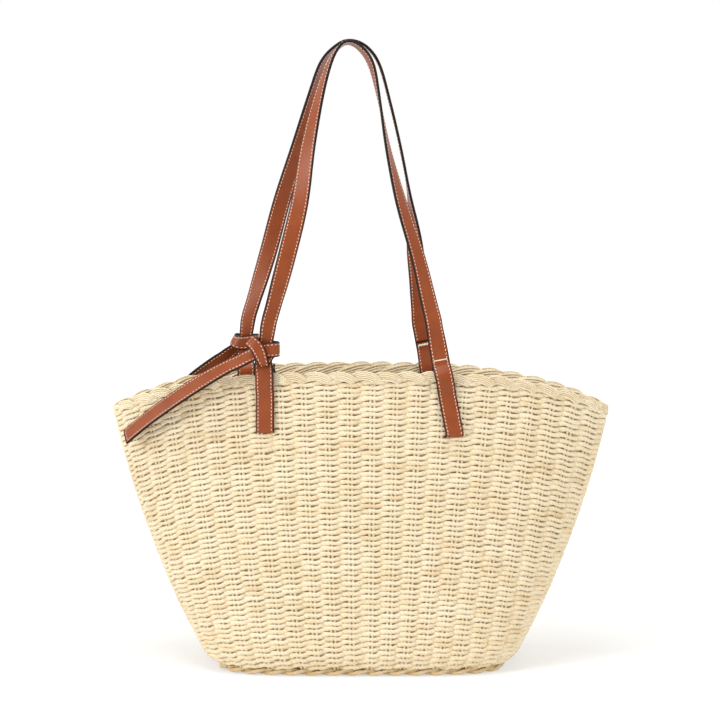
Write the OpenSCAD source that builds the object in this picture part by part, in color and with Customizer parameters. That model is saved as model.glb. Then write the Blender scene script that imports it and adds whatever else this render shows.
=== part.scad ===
// Woven straw tote with two leather strap handles. Each strap is sewn to itself at its right foot and
// tied round itself in a half hitch at its left foot, with a free tail. Millimetres, X to the right,
// Y to the back, Z up, origin under the middle of the base.

/* [Woven body] */
// Width of the mouth, corner to corner
mouth_w = 470; // [400:1:540]
// Depth of the mouth, front to back
mouth_d = 104; // [90:1:160]
// Width of the base
base_w = 291; // [240:1:360]
// Depth of the base, front to back
base_d = 140; // [110:1:180]
// Height of the woven wall at the middle of the front
wall_h = 263; // [220:1:320]
// How far the mouth dips at its two corners
corner_drop = 35; // [0:1:50]
// Thickness of the weave
wall_t = 7; // [5:0.5:9]
// Thickness of the woven base
base_t = 7; // [5:0.5:8]

/* [Border and foot] */
// Stakes round the body, one scallop of the border each
stakes = 46; // [36:2:56]
// Height of the border above the wall
border_h = 13; // [10:0.5:16]
// Thickness of the border
border_t = 11; // [10:0.5:13]
// Depth of the dips between scallops
scallop = 3.2; // [1:0.2:4]
// Thickness of the twisted edging round the foot
edging_d = 8; // [7:0.5:10]

/* [Strap] */
// Width of the strap
strap_w = 17; // [14:0.5:19]
// Thickness of the strap, two layers together
strap_t = 2.8; // [2.4:0.1:3]
// Height of the slits that the tied feet pass through
slit_z = 228; // [200:1:240]
// How far the slits of the sewn feet lie below those
sewn_slit_drop = 4; // [0:0.5:8]
// Height of the fold line above the top of the border
fold_rise = 38; // [36:0.5:60]

/* [Front handle] */
// Place of the knot, from the middle of the bag
front_knot_x = -88.5; // [-110:0.5:-75]
// Place of the sewn foot at the fold line
front_foot_x = 68; // [50:0.5:90]
// Place of the top of the arch
front_top_x = -12; // [-30:0.5:30]
// Height of the arch above the fold line
front_arch_h = 265; // [180:1:300]
// How far the bar tack lies below the line where the handle folds over
front_tack_drop = 27.5; // [18:0.5:30]
// Length of the free tail of the knot
front_tail_l = 140; // [90:1:145]
// How far the tail droops
front_tail_fall = 75; // [60:1:85]

/* [Back handle] */
// Place of the knot, from the middle of the bag
back_knot_x = -113; // [-120:0.5:-75]
// Place of the sewn foot at the fold line
back_foot_x = 58; // [45:0.5:90]
// Place of the top of the arch
back_top_x = -10.5; // [-30:0.5:30]
// Height of the arch above the fold line
back_arch_h = 268; // [180:1:300]
// How far the bar tack lies below the line where the handle folds over
back_tack_drop = 21; // [18:0.5:30]
// Length of the free tail of the knot
back_tail_l = 124; // [90:1:130]
// How far the tail droops
back_tail_fall = 81; // [60:1:88]

/* [Hidden] */

straw = [0.93, 0.85, 0.70];
straw_shade = [0.80, 0.69, 0.50];
leather = [0.62, 0.32, 0.19];
leather_back = [0.46, 0.24, 0.16];
thread = [0.95, 0.92, 0.86];

// Clearance between soft pieces that lie against each other
clear = 0.3;
// Clearance of the border over the wall, whose top edge slopes
border_seat = 0.9;
// Room round the strap in its slit
slit_room = 1.2;
// Radius of the strap's bend at the slit, to its middle
bend_r = 3;

// Superellipse exponents of the body's plan at the base and at the mouth, and how fast they change
base_square = 4.2;
mouth_square = 1.8;
square_ease = 1.6;
// Swelling of the sides: 1 is a straight taper
side_swell = 1.35;
// The wall rounds in by this much at the foot, over this share of its height
foot_round = 6;
foot_share = 0.06;
// How late the mouth dips towards its corners: 2 is a parabola
corner_turn = 3.2;

wall_rounds = 2 * stakes;
// Height shares of the wall's rings, close together where the wall rounds into the foot
wall_levels = [0, 0.025, 0.06, 0.16, 0.3, 0.47, 0.65, 0.83, 1];
stations_per_scallop = 5;
border_sides = 7;
stations_per_twist = 4;
edging_sides = 6;
// Half turns of the two cords round the foot, about 22 mm apart
twists = 36;
// The edging lies this far inside the wall's foot
edging_in = 1.5;

// The scallops lean this far inwards from one end to the other
border_lean = 0.8;
// Layers of strap in the knot lie this far apart
ply = strap_t + clear;
// Where the strap runs, outwards from the face of the wall
out_o = strap_t / 2 + 1.5 * clear;
in_o = -wall_t - out_o;
bulge = (border_t - wall_t + border_lean) / 2;
rim_out_o = out_o + bulge;
rim_in_o = in_o - bulge;
// The sewn foot closes over the middle of the wall, and the tied strap stands over its face
tack_o = (ply - wall_t) / 2;
knot_o = 1;

sewn_slit_z = slit_z - sewn_slit_drop;
wall_top = edging_d + wall_h;
fold_z = wall_top + border_h + fold_rise;
// The knot's middle lies this far below the fold line
knot_drop = 19;
knot_z = fold_z - knot_drop;
// The strap stops this far past the bar tack
tack_end = 4;
// A leg stands off round the border from this far below its crest to this far below the wall's top
crest_gap = 2.5;
rim_gap = 7;
tack_bar = [strap_w - 4, 1, 1.6];
// The sewn leg leans outwards on its way down, and the tied one leans in on its way up to the arch
sewn_lean = 0.19;
tied_lean = 0.13;
// The tied strap hangs straight from this far below the knot's middle
knot_below = 12;
// The knot pinches the strap that it is tied round to this share of its width, and to this one at the
// fold line, and the pinch ends at this share of the arch's height
knot_pinch = 0.78;
fold_pinch = 0.86;
pinch_end = 0.14;
// Straight bit at each end of a stretch, so that two stretches meet square
straight = 3;
// Steps of the smooth stretches between two chosen points
leg_steps = 2;
knot_steps = 2;
arch_steps = 3;
tail_steps = 3;

function clamp(v, low, high) = max(low, min(high, v));
function unit(v) = v / norm(v);
function flat_power(v, p) = sign(v) * pow(abs(v), p);
function part_of(list, first, last) = [for (i = [first:last]) list[i]];
function mix(a, b, f) = a * (1 - f) + b * f;
function smooth_step(f) = let (g = clamp(f, 0, 1)) g * g * (3 - 2 * g);

// Body: half width, half depth and plan exponent at the height share t, from 0 at the foot to 1
function foot_in(t) = foot_round * pow(max(1 - t / foot_share, 0), 2);
function half_w(t) =
    base_w / 2 + (mouth_w - base_w) / 2 * t * (side_swell + (1 - side_swell) * t) - foot_in(t);
function half_d(t) = mix(base_d, mouth_d, t) / 2 - foot_in(t);
function square_at(t) = mouth_square + (base_square - mouth_square) * pow(1 - t, square_ease);
function dip_at(share, t) = corner_drop * t * (2 - t) * pow(abs(share), corner_turn);
function height_at(share, t) = edging_d + wall_h * t - dip_at(share, t);
function body_point(u, t, inset, lift = 0) =
    let (p = 2 / square_at(t), share = flat_power(cos(u), p))
    [(half_w(t) - inset) * share, (half_d(t) - inset) * flat_power(sin(u), p), height_at(share, t) + lift];

// Height share of the wall at x and z, and the depth of its outer face there, found by repetition
function share_at(x, z, t = 0.7, turns = 9) = turns == 0 ? t :
    let (c = min(abs(x) / half_w(t), 1))
    share_at(x, z, clamp((z - edging_d + dip_at(c, t)) / wall_h, 0, 1), turns - 1);
function depth_at(x, z) =
    let (t = share_at(x, z), c = min(abs(x) / half_w(t), 0.998), e = square_at(t))
    half_d(t) * pow(1 - pow(c, e), 1 / e);
// Horizontal outward direction of the front wall at x and z
function wall_out(x, z) =
    let (step = 2, slope = (depth_at(x + step, z) - depth_at(x - step, z)) / (2 * step))
    unit([-slope, -1, 0]);
// Point o outwards from the front wall at x and z, and the top edges of wall and border there
function off_wall(x, z, o) = [x, -depth_at(x, z), z] + o * wall_out(x, z);
function wall_top_at(x) = wall_top - dip_at(2 * x / mouth_w, 1);
function border_top_at(x) = wall_top_at(x) + border_h;

// Smooth curve through rows of numbers, with steps to each stretch
function curve_row(p, k, f) =
    let (a = p[max(k - 1, 0)], b = p[k], c = p[k + 1], d = p[min(k + 2, len(p) - 1)])
    (2 * b + (c - a) * f + (2 * a - 5 * b + 4 * c - d) * f * f + (3 * b - a - 3 * c + d) * f * f * f) / 2;
function smooth_rows(p, steps) = concat(
    [for (k = [0:len(p) - 2]) for (i = [0:steps - 1]) curve_row(p, k, i / steps)], [p[len(p) - 1]]);

// A strap is a list of rows: three numbers of place, three of the face's direction, and its width
function row_of(place, face, width = strap_w) = concat(place, face, [width]);
function place_of(row) = part_of(row, 0, 2);
function way_at(rows, i) =
    unit(place_of(rows[min(i + 1, len(rows) - 1)]) - place_of(rows[max(i - 1, 0)]));
function face_at(rows, i) =
    let (way = way_at(rows, i), face = part_of(rows[i], 3, 5)) unit(face - way * (face * way));

// One layer of a strap between two depths
module strap_layer(rows, low, high) {
    points = [for (i = [0:len(rows) - 1])
        let (p = place_of(rows[i]), face = face_at(rows, i))
        let (side = cross(way_at(rows, i), face) * rows[i][6] / 2)
        each [p + side + face * high, p - side + face * high, p - side + face * low, p + side + face * low]];
    n = len(rows) - 1;
    skins = [for (i = [0:n - 1]) let (a = 4 * i, b = a + 4) each [
        [a, a + 1, b + 1], [a, b + 1, b],
        [a + 1, a + 2, b + 2], [a + 1, b + 2, b + 1],
        [a + 3, b + 2, a + 2], [a + 3, b + 3, b + 2],
        [a + 3, a, b], [a + 3, b, b + 3]]];
    ends = [[0, 2, 1], [0, 3, 2], [4 * n, 4 * n + 1, 4 * n + 2], [4 * n, 4 * n + 2, 4 * n + 3]];
    polyhedron(points, concat(skins, ends));
}
// The two layers meet at the strap's middle
module strap_run(rows, layer) {
    if (layer == "face") color(leather) strap_layer(rows, 0, strap_t / 2);
    else color(leather_back) strap_layer(rows, -strap_t / 2, 0);
}

// Closed ring of stations, each with the same number of points round its section
module ring(stations, sides, points) {
    skins = [for (i = [0:stations - 1]) for (j = [0:sides - 1])
        let (k = (i + 1) % stations, m = (j + 1) % sides)
        let (a = i * sides + j, b = i * sides + m, c = k * sides + m, d = k * sides + j)
        each [[a, b, c], [a, c, d]]];
    polyhedron(points, skins);
}

// Angles that step evenly round the plan at height share t, from a table of its length
plan_step = 1;
function plan_length_table(t) =
    let (steps = 360 / plan_step)
    let (p = [for (i = [0:steps]) body_point(i * plan_step, t, 0)])
    let (gaps = [for (i = [0:steps]) i == 0 ? 0 : norm(p[i] - p[i - 1])])
    [for (i = 0, total = 0; i <= steps; i = i + 1, total = total + (i <= steps ? gaps[i] : 0))
        [total, i * plan_step]];
function even_angle(table, share) = lookup(share * table[len(table) - 1][0], table);

// Woven base: an oval plate inside the edging
module base_panel() {
    inset = edging_in + edging_d + clear;
    p = 2 / base_square;
    color(straw) linear_extrude(base_t)
        polygon([for (u = [0:360 / wall_rounds:359])
            [(half_w(0) - inset) * flat_power(cos(u), p), (half_d(0) - inset) * flat_power(sin(u), p)]]);
}

// Edging of the foot: two cords twisted together, so its two-lobed section turns along the ring
module base_edging() {
    stations = twists * stations_per_twist;
    table = plan_length_table(0);
    lobe = 0.16;
    inset = edging_in + edging_d / 2;
    points = [for (i = [0:stations - 1])
        let (u = even_angle(table, i / stations), turn = 180 * i / stations_per_twist)
        let (middle = body_point(u, 0, inset), ahead = body_point(u + plan_step, 0, inset))
        let (way = unit(ahead - middle), out = [way[1], -way[0], 0])
        for (j = [0:edging_sides - 1])
            let (a = 360 * j / edging_sides)
            let (r = edging_d / 2 * (1 - lobe + lobe * cos(2 * (a - turn))))
            [middle[0], middle[1], edging_d / 2] + r * (cos(a) * out + sin(a) * [0, 0, 1])];
    color(straw_shade) intersection() {
        ring(stations, edging_sides, points);
        translate([-base_w, -base_d, 0]) cube([2 * base_w, 2 * base_d, edging_d - clear]);
    }
}

// Wall: a flared shell, lofted from the oval foot to the dipping mouth, with a slit for each strap end
module woven_wall() {
    last = len(wall_levels) - 1;
    loop = concat([for (t = wall_levels) [t, 0]], [for (l = [last:-1:0]) [wall_levels[l], wall_t]]);
    points = [for (i = [0:wall_rounds - 1]) for (q = loop) body_point(360 * i / wall_rounds, q[0], q[1])];
    color(straw) difference() {
        ring(wall_rounds, len(loop), points);
        for (h = [front, back]) {
            slit(tied_x(h), slit_z, h == front ? 1 : -1);
            slit(sewn_slit_x(h), sewn_slit_z, h == front ? 1 : -1);
        }
    }
}
module slit(x, z, front_side) {
    out = wall_out(x, z);
    scale([1, front_side, 1]) translate(off_wall(x, z, -wall_t / 2)) rotate(atan2(out[1], out[0]))
        cube([3 * wall_t, strap_w + 2 * clear, strap_t + 2 * slit_room], center = true);
}

// Border: a rounded ring on the wall's top edge, one scallop to a stake, leaning with its bent stakes
module rim_border() {
    stations = stakes * stations_per_scallop;
    table = plan_length_table(1);
    points = [for (i = [0:stations - 1])
        let (u = even_angle(table, i / stations), f = (i % stations_per_scallop) / stations_per_scallop)
        let (middle = body_point(u, 1, wall_t / 2), ahead = body_point(u + plan_step, 1, wall_t / 2))
        let (way = unit([ahead[0] - middle[0], ahead[1] - middle[1], 0]), out = [way[1], -way[0], 0])
        let (h = border_h - border_seat - scallop * (1 - sin(180 * f)))
        for (j = [0:border_sides - 1])
            let (a = 360 * (j + 0.5) / border_sides - 90)
            middle + out * (border_t / 2 * cos(a) - border_lean * (f - 0.5))
                + [0, 0, border_seat + h / 2 * (1 + sin(a) / cos(180 / border_sides))]];
    color(straw_shade) ring(stations, border_sides, points);
}

// Half hitch, from the inner leg to the tail. Each turn: place right of the knot's middle, plies in front
// of the standing strap, height above the knot's middle, direction of the face, and share of the width.
// The end rises behind, comes round the right edge, doubles back over its front up to the left, passes
// behind once more, comes round the right edge again and leaves to the left under its own first pass.
// The front knot's left fold is pulled high, and the back one's low.
knot_start = [
    [0, -1, -14, [0, -1, 0], 0.96],
    [0.4, -1, -9.5, [0, -1, 0], 0.78],
    [3.4, -1, -4, [0, -1, 0], 0.5],
    [7.6, -0.95, -1, [0.5, -0.8, 0], 0.46],
    [9.2, 0, -1, [1, 0, 0], 0.46],
    [7.6, 0.95, -2, [0.5, 0.8, 0], 0.46],
    [4.4, 1.05, -5, [0, 1, 0.1], 0.46],
    [2, 1.3, -9.5, [0, 0.9, 0.4], 0.48],
    [0.2, 2.1, -12.2, [-0.1, 0, 1], 0.52],
    [-1.4, 2.95, -8.8, [-0.1, -0.9, 0.4], 0.6]];
high_fold = [
    [-3.8, 3.1, -2.4, [0, -1, 0], 0.72],
    [-7.2, 3.1, 4.6, [0, -1, 0], 0.76],
    [-11.6, 2.4, 8.8, [0.5, -0.7, -0.5], 0.72],
    [-13.2, 0.4, 9.4, [0.7, 0, -0.7], 0.72],
    [-11.4, -1.6, 7, [0.5, 0.7, -0.5], 0.76],
    [-6, -2.1, 4, [0, 1, 0], 0.8],
    [2, -2.1, 2.4, [0, 1, 0], 0.82]];
low_fold = [
    [-3.8, 3.1, -2.8, [0, -1, 0], 0.66],
    [-6.8, 3.1, 1.8, [0, -1, 0], 0.66],
    [-10, 2.6, 3.8, [0.6, -0.7, -0.35], 0.62],
    [-11.6, 0.6, 3.2, [0.85, 0, -0.5], 0.62],
    [-9.6, -1.5, 1.2, [0.65, 0.7, -0.25], 0.72],
    [-4.5, -2.1, 0.2, [0, 1, 0], 0.82],
    [2, -2.1, 0.4, [0, 1, 0], 0.82]];
high_finish = [
    [8.8, -1.9, 2, [-0.5, 0.8, 0], 0.82],
    [12.4, 0, 1.8, [-1, 0, 0], 0.82],
    [8.8, 1.9, 1.6, [-0.5, -0.8, 0], 0.82],
    [1.5, 2.05, 1.1, [0, -1, 0], 0.8],
    [-7, 2, -1, [0, -1, -0.1], 0.76],
    [-14, 1.9, -4.2, [0, -1, -0.5], 0.76],
    [-18.5, 1.9, -6.6, [0, -1, -0.8], 0.82]];
low_finish = [
    [8.8, -1.9, 1.6, [-0.5, 0.8, 0], 0.82],
    [12.4, 0, 1.6, [-1, 0, 0], 0.82],
    [8.8, 1.9, 1.2, [-0.5, -0.8, 0], 0.82],
    [1.5, 2.05, -0.2, [0, -1, 0], 0.74],
    [-7, 2, -4.5, [0, -1, -0.1], 0.61],
    [-13, 1.9, -8.6, [0, -1, -0.5], 0.72],
    [-17, 1.9, -11.4, [0, -1, -0.8], 0.82]];

// A handle: knot place, sewn foot place, arch top place, arch height, then for the tied side and the sewn
// side their rise as [share of height, share of spread] and the turn of the strap's face away from the loop
// as [share of height, degrees], and last the tail's length and fall, the tack's drop, the knot's left fold
// and its end, and the way in which the tail leaves it
front = [front_knot_x, front_foot_x, front_top_x, front_arch_h,
    [[0, 1], [0.1, 0.903], [0.25, 0.76], [0.44, 0.6], [0.63, 0.5], [0.8, 0.37], [0.92, 0.24], [0.98, 0.12]],
    [[0, -12], [0.1, -25], [0.25, -8], [0.44, 17], [0.63, 38], [0.8, 60], [0.92, 76], [0.98, 88], [1, 95]],
    [[0, 1], [0.1, 0.92], [0.25, 0.8], [0.44, 0.61], [0.63, 0.46], [0.8, 0.36], [0.92, 0.27], [0.98, 0.14]],
    [[0, 20], [0.1, 28], [0.25, 40], [0.44, 55], [0.63, 77], [0.8, 93], [0.92, 105], [0.98, 101], [1, 95]],
    front_tail_l, front_tail_fall, front_tack_drop, high_fold, high_finish,
    unit([-1, 0, -0.53])];
back = [back_knot_x, back_foot_x, back_top_x, back_arch_h,
    [[0, 1], [0.1, 0.914], [0.25, 0.79], [0.44, 0.65], [0.63, 0.49], [0.8, 0.36], [0.92, 0.26], [0.98, 0.13]],
    [[0, -12], [0.1, -25], [0.25, -8], [0.44, 17], [0.63, 38], [0.8, 60], [0.92, 76], [0.98, 87], [1, 90]],
    [[0, 1], [0.1, 0.972], [0.2, 0.94], [0.44, 0.84], [0.63, 0.7], [0.8, 0.54], [0.92, 0.4], [0.98, 0.22]],
    [[0, 0], [0.2, 0], [0.44, 81], [0.63, 90], [1, 90]],
    back_tail_l, back_tail_fall, back_tack_drop, low_fold, low_finish,
    unit([-1, 0, -0.71])];

// Places of a handle's two legs
function tied_x(h) = h[0];
function sewn_x(h, z) = h[1] + sewn_lean * (fold_z - z);
function sewn_slit_x(h) = sewn_x(h, sewn_slit_z + bend_r);
function tack_z(h) = fold_z - h[10];
function tied_stand_x(h, z) = h[0] + tied_lean * max(z - knot_z, -knot_below);
function knot_y(h) = -depth_at(h[0], wall_top) - knot_o;
function tied_foot(h) = [tied_stand_x(h, fold_z), knot_y(h), fold_z];
function sewn_foot(h) = [h[1], -depth_at(sewn_x(h, wall_top), wall_top) - tack_o, fold_z];
// Direction of the face where the arch begins, turned away from the loop
function foot_face(turn, away) = [away * sin(turn), -cos(turn), 0];
function tied_face(h) = foot_face(lookup(0, h[5]), -1);
function sewn_face(h) = foot_face(lookup(0, h[7]), 1);

// Turn of the strap through its slit, from the outer leg to the inner one, at the leg place x
bend_angles = [0, 30, 60, 90];
function slit_turn(x, z) =
    let (out = wall_out(x, z), low = z + bend_r)
    concat(
        [for (a = bend_angles)
            row_of(off_wall(x, low - bend_r * sin(a), out_o - bend_r * (1 - cos(a))),
                   cos(a) * out - [0, 0, sin(a)])],
        [for (a = bend_angles)
            row_of(off_wall(x, low - bend_r * cos(a), in_o + bend_r * (1 - sin(a))),
                   -sin(a) * out - [0, 0, cos(a)])]);

// Leg against the wall, from the bend up to the border, on either face
function leg_row(x, z, o, sign_out) = row_of(off_wall(x, z, o), sign_out * wall_out(x, z));

// Sewn foot: down outside, through the slit, up inside and against itself again
function sewn_rows(h) =
    let (top_x = sewn_x(h, wall_top), rim = wall_top_at(top_x), crest = border_top_at(top_x))
    let (low = sewn_slit_z + bend_r, heights = [crest - crest_gap, rim, rim - rim_gap, mix(low, rim, 0.4)])
    let (outside = [rim_out_o, rim_out_o, out_o, out_o], inside = [rim_in_o, rim_in_o, in_o, in_o])
    let (out_top = off_wall(top_x, wall_top, tack_o), in_top = off_wall(top_x, wall_top, tack_o - ply))
    let (end_z = tack_z(h) + tack_end, join_z = tack_z(h) - tack_end)
    let (down = [
            row_of(sewn_foot(h) - [0, 0, clear + straight], sewn_face(h)),
            row_of([sewn_x(h, end_z), out_top[1], end_z], [0, -1, 0]),
            row_of([sewn_x(h, join_z), out_top[1], join_z], [0, -1, 0]),
            for (i = [0:3]) leg_row(sewn_x(h, heights[i]), heights[i], outside[i], 1),
            leg_row(sewn_x(h, low), low, out_o, 1)])
    let (up = [
            leg_row(sewn_x(h, low), low, in_o, -1),
            for (i = [3:-1:0]) leg_row(sewn_x(h, heights[i]), heights[i], inside[i], -1),
            row_of([sewn_x(h, join_z), in_top[1], join_z], [0, 1, 0]),
            row_of([sewn_x(h, end_z), in_top[1], end_z], [0, 1, 0])])
    let (turn = slit_turn(sewn_slit_x(h), sewn_slit_z))
    concat([row_of(sewn_foot(h) - [0, 0, clear], sewn_face(h))], smooth_rows(down, leg_steps),
           part_of(turn, 1, len(turn) - 2), smooth_rows(up, leg_steps));

// Tied foot: from the fold line down through the knot, outside the wall, through the slit, up inside
function tied_rows(h) =
    let (x = tied_x(h), rim = wall_top_at(x), crest = border_top_at(x), low = slit_z + bend_r)
    let (heights = [crest - crest_gap, rim, rim - rim_gap, mix(low, rim, 0.4)], y = knot_y(h))
    let (outside = [rim_out_o, rim_out_o, out_o, out_o], inside = [rim_in_o, rim_in_o, in_o, in_o])
    let (knot_first = knot_row(h, knot_start[0]))
    let (down = [
            row_of(tied_foot(h) - [0, 0, clear + straight], tied_face(h), strap_w * fold_pinch),
            for (q = [[8, knot_pinch], [-4, knot_pinch], [-knot_below - 1, 1]])
                row_of([tied_stand_x(h, knot_z + q[0]), y, knot_z + q[0]], [0, -1, 0], strap_w * q[1]),
            for (i = [0:3]) leg_row(x, heights[i], outside[i], 1),
            leg_row(x, low, out_o, 1)])
    let (up = [
            leg_row(x, low, in_o, -1),
            for (i = [3:-1:0]) leg_row(x, heights[i], inside[i], -1),
            row_of(place_of(knot_first) - [0, 0, straight], [0, 1, 0])])
    let (turn = slit_turn(x, slit_z))
    concat([row_of(tied_foot(h) - [0, 0, clear], tied_face(h), strap_w * fold_pinch)],
           smooth_rows(down, leg_steps),
           part_of(turn, 1, len(turn) - 2), smooth_rows(up, leg_steps), [knot_first]);

// Rows of a handle's knot, from the inner leg to the tail, which leaves it in its own way
function knot_turns(h) = concat(knot_start, h[11], h[12]);
function tail_way(h) = h[13];
function knot_row(h, turn) =
    row_of([tied_x(h) + turn[0], knot_y(h) - ply * turn[1], knot_z + turn[2]],
           [turn[3][0], -turn[3][1], turn[3][2]], strap_w * turn[4]);
function knot_end(h) = knot_row(h, h[12][len(h[12]) - 1]);
function moved_row(row, step) = concat(place_of(row) + step, part_of(row, 3, 6));
function knot_rows(h) =
    let (first = knot_row(h, knot_start[0]), turns = [for (turn = knot_turns(h)) knot_row(h, turn)])
    concat([first], smooth_rows(concat([moved_row(first, [0, 0, straight])],
                                       part_of(turns, 1, len(turns) - 1)), knot_steps),
           [moved_row(knot_end(h), straight * tail_way(h))]);

// Tail: leaves the knot to the left and droops over the border and the wall, its face turned upwards
tail_share = [0, 0.14, 0.35, 0.6, 0.8, 1];
tail_drop = [0, 0.1, 0.28, 0.53, 0.75, 1];
// How far it lies off the wall, and the height over which it eases past the border
tail_o = 10.5;
tail_ease = 40;
// The tail's run to the left is a little less than a straight one's, for its bow
tail_bow = 0.94;
function tail_run(h) = sqrt(h[8] * h[8] - h[9] * h[9]) * tail_bow;
function tail_rows(h) =
    let (root = moved_row(knot_end(h), (straight + clear) * tail_way(h)), first = place_of(root))
    concat([root], smooth_rows([
        moved_row(root, straight * tail_way(h)),
        for (i = [1:len(tail_share) - 1])
            let (x = first[0] - tail_run(h) * tail_share[i], z = first[2] - h[9] * tail_drop[i])
            let (rim_o = bulge * (1 - smooth_step((border_top_at(x) - z) / tail_ease)))
            let (low = min(z, wall_top_at(x)), out = wall_out(x, low))
            let (near = (tail_o + rim_o) / out[1] - depth_at(x, low))
            row_of([x, mix(first[1], near, smooth_step(tail_share[i] * 2.2)), z],
                   [0, 1, -1], strap_w * mix(root[6] / strap_w, 1, smooth_step(tail_share[i] * 3)))],
        tail_steps));

// Arch: both sides rise from the fold line to the top, and the strap turns from facing out to lying flat
function arch_side(h, foot, profile, twist, pinch) = [for (q = profile)
    [mix(h[2], foot[0], q[1]), mix(foot[1], -(strap_w / 2 + clear), q[0]),
        fold_z + mix(straight, h[3], q[0]), lookup(q[0], twist), mix(pinch, 1, min(q[0] / pinch_end, 1))]];
function reversed(list) = [for (i = [len(list) - 1:-1:0]) list[i]];
function arch_rows(h) =
    let (top = [h[2], -(strap_w / 2 + clear), fold_z + h[3], lookup(1, h[5]), 1])
    let (line = smooth_rows(concat(arch_side(h, tied_foot(h), h[4], h[5], fold_pinch), [top],
                                   reversed(arch_side(h, sewn_foot(h), h[6], h[7], 1))), arch_steps))
    concat([row_of(tied_foot(h), tied_face(h), strap_w * fold_pinch)],
        [for (i = [0:len(line) - 1])
            let (way = way_at(line, i), outer = unit(cross(way, [0, 1, 0])), turn = line[i][3])
            row_of(part_of(line[i], 0, 2), cos(turn) * [0, -1, 0] + sin(turn) * outer,
                   strap_w * line[i][4])],
        [row_of(sewn_foot(h), sewn_face(h))]);

// Bar tack: a row of thread across the strap, on the outer face and on the inner one
module bar_tack(h) {
    x = sewn_x(h, tack_z(h));
    y = off_wall(sewn_x(h, wall_top), wall_top, tack_o)[1];
    depths = [-strap_t / 2 - tack_bar[1] / 2, ply + strap_t / 2 + tack_bar[1] / 2];
    color(thread) for (d = depths) translate([x, y + d, tack_z(h)]) rotate([0, atan(sewn_lean), 0])
        cube(tack_bar, center = true);
}

module arch(h, layer) {
    strap_run(arch_rows(h), layer);
}
module sewn_loop(h, layer) {
    strap_run(sewn_rows(h), layer);
}
module tied_loop(h, layer) {
    strap_run(tied_rows(h), layer);
}
module knot(h, layer) {
    strap_run(knot_rows(h), layer);
}
module tail(h, layer) {
    strap_run(tail_rows(h), layer);
}

// The back handle faces the other way
module to_back() {
    mirror([0, 1, 0]) children();
}

base_panel();
base_edging();
woven_wall();
rim_border();
arch(front, "face");  // front_arch_face
arch(front, "backing");  // front_arch_backing
sewn_loop(front, "face");  // front_sewn_loop_face
sewn_loop(front, "backing");  // front_sewn_loop_backing
bar_tack(front);  // front_bar_tack
tied_loop(front, "face");  // front_tied_loop_face
tied_loop(front, "backing");  // front_tied_loop_backing
knot(front, "face");  // front_knot_face
knot(front, "backing");  // front_knot_backing
tail(front, "face");  // front_tail_face
tail(front, "backing");  // front_tail_backing
to_back() arch(back, "face");  // back_arch_face
to_back() arch(back, "backing");  // back_arch_backing
to_back() sewn_loop(back, "face");  // back_sewn_loop_face
to_back() sewn_loop(back, "backing");  // back_sewn_loop_backing
to_back() bar_tack(back);  // back_bar_tack
to_back() tied_loop(back, "face");  // back_tied_loop_face
to_back() tied_loop(back, "backing");  // back_tied_loop_backing
to_back() knot(back, "face");  // back_knot_face
to_back() knot(back, "backing");  // back_knot_backing
to_back() tail(back, "face");  // back_tail_face
to_back() tail(back, "backing");  // back_tail_backing
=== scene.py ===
"""Looks of the straw tote: plain-woven body, scalloped border, twisted foot and two tied leather straps."""
import math

import bpy
import numpy as np
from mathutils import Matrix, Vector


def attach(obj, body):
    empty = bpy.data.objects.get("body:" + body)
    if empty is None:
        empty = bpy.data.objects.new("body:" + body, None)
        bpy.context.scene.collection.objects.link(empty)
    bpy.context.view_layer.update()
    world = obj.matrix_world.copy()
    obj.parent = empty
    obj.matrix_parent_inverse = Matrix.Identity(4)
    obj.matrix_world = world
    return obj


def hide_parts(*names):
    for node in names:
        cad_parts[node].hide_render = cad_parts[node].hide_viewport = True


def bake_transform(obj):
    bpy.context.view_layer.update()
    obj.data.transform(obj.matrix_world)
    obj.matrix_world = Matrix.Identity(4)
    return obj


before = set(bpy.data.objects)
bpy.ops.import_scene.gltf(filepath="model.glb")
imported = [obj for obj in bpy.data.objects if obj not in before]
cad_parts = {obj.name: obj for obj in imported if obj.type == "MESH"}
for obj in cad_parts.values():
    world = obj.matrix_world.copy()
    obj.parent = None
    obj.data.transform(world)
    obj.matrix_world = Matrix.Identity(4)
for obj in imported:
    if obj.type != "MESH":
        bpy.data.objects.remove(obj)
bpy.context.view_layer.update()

# Sizes below are in millimetres and meshes are in metres
MM = 0.001
random = np.random.default_rng(7)

# Woven body
MOUTH_W, MOUTH_D = 470, 104
BASE_W, BASE_D = 291, 140
WALL_H, CORNER_DROP, WALL_T, BASE_T = 263, 35, 7, 7
BASE_SQUARE, MOUTH_SQUARE, SQUARE_EASE, SIDE_SWELL = 4.2, 1.8, 1.6, 1.35
FOOT_ROUND, FOOT_SHARE, CORNER_TURN = 6, 0.06, 3.2
STAKES = 46
EDGING_D, EDGING_IN = 8, 1.5
WALL_TOP = EDGING_D + WALL_H

# Weave: rows of cord over one stake and under the next
ROWS = 110
BANDS = 3
STATIONS_PER_STITCH = 8
CORD_SIDES = 6
WEAVE_SWING = 2.15
CORD_ACROSS, CORD_THROUGH = 1.86, 1.25
CROSSING_WIDE, CROSSING_EASE, CROSSING_SKEW = 1.5, 1.6, 0.08
ROW_SLANT, ROW_TILT = 0.9, 0.4
STITCH_FLATNESS = 1.9
WEAVE_TOP = 1.03
# Place of the first row above the foot, and what the last one leaves free, in rows
ROW_START, ROW_MARGIN = 0.6, 0.4
# Spread of the stitches' places along the row, depths, heights and girths, and the weight of the depths
PLACE_SPREAD, DEPTH_SPREAD, RISE_SPREAD, GIRTH_SPREAD = 0.08, 0.6, 0.22, 0.05
DEPTH_WEIGHT = 0.1
STAKE_GAP, STAKE_ACROSS, STAKE_THROUGH = 3.6, 1.35, 2.6
STAKE_TOP, STAKE_STATIONS = 0.995, 44

# Border and foot
BORDER_H, BORDER_T, BORDER_LEAN = 13, 11, 0.8
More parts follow.
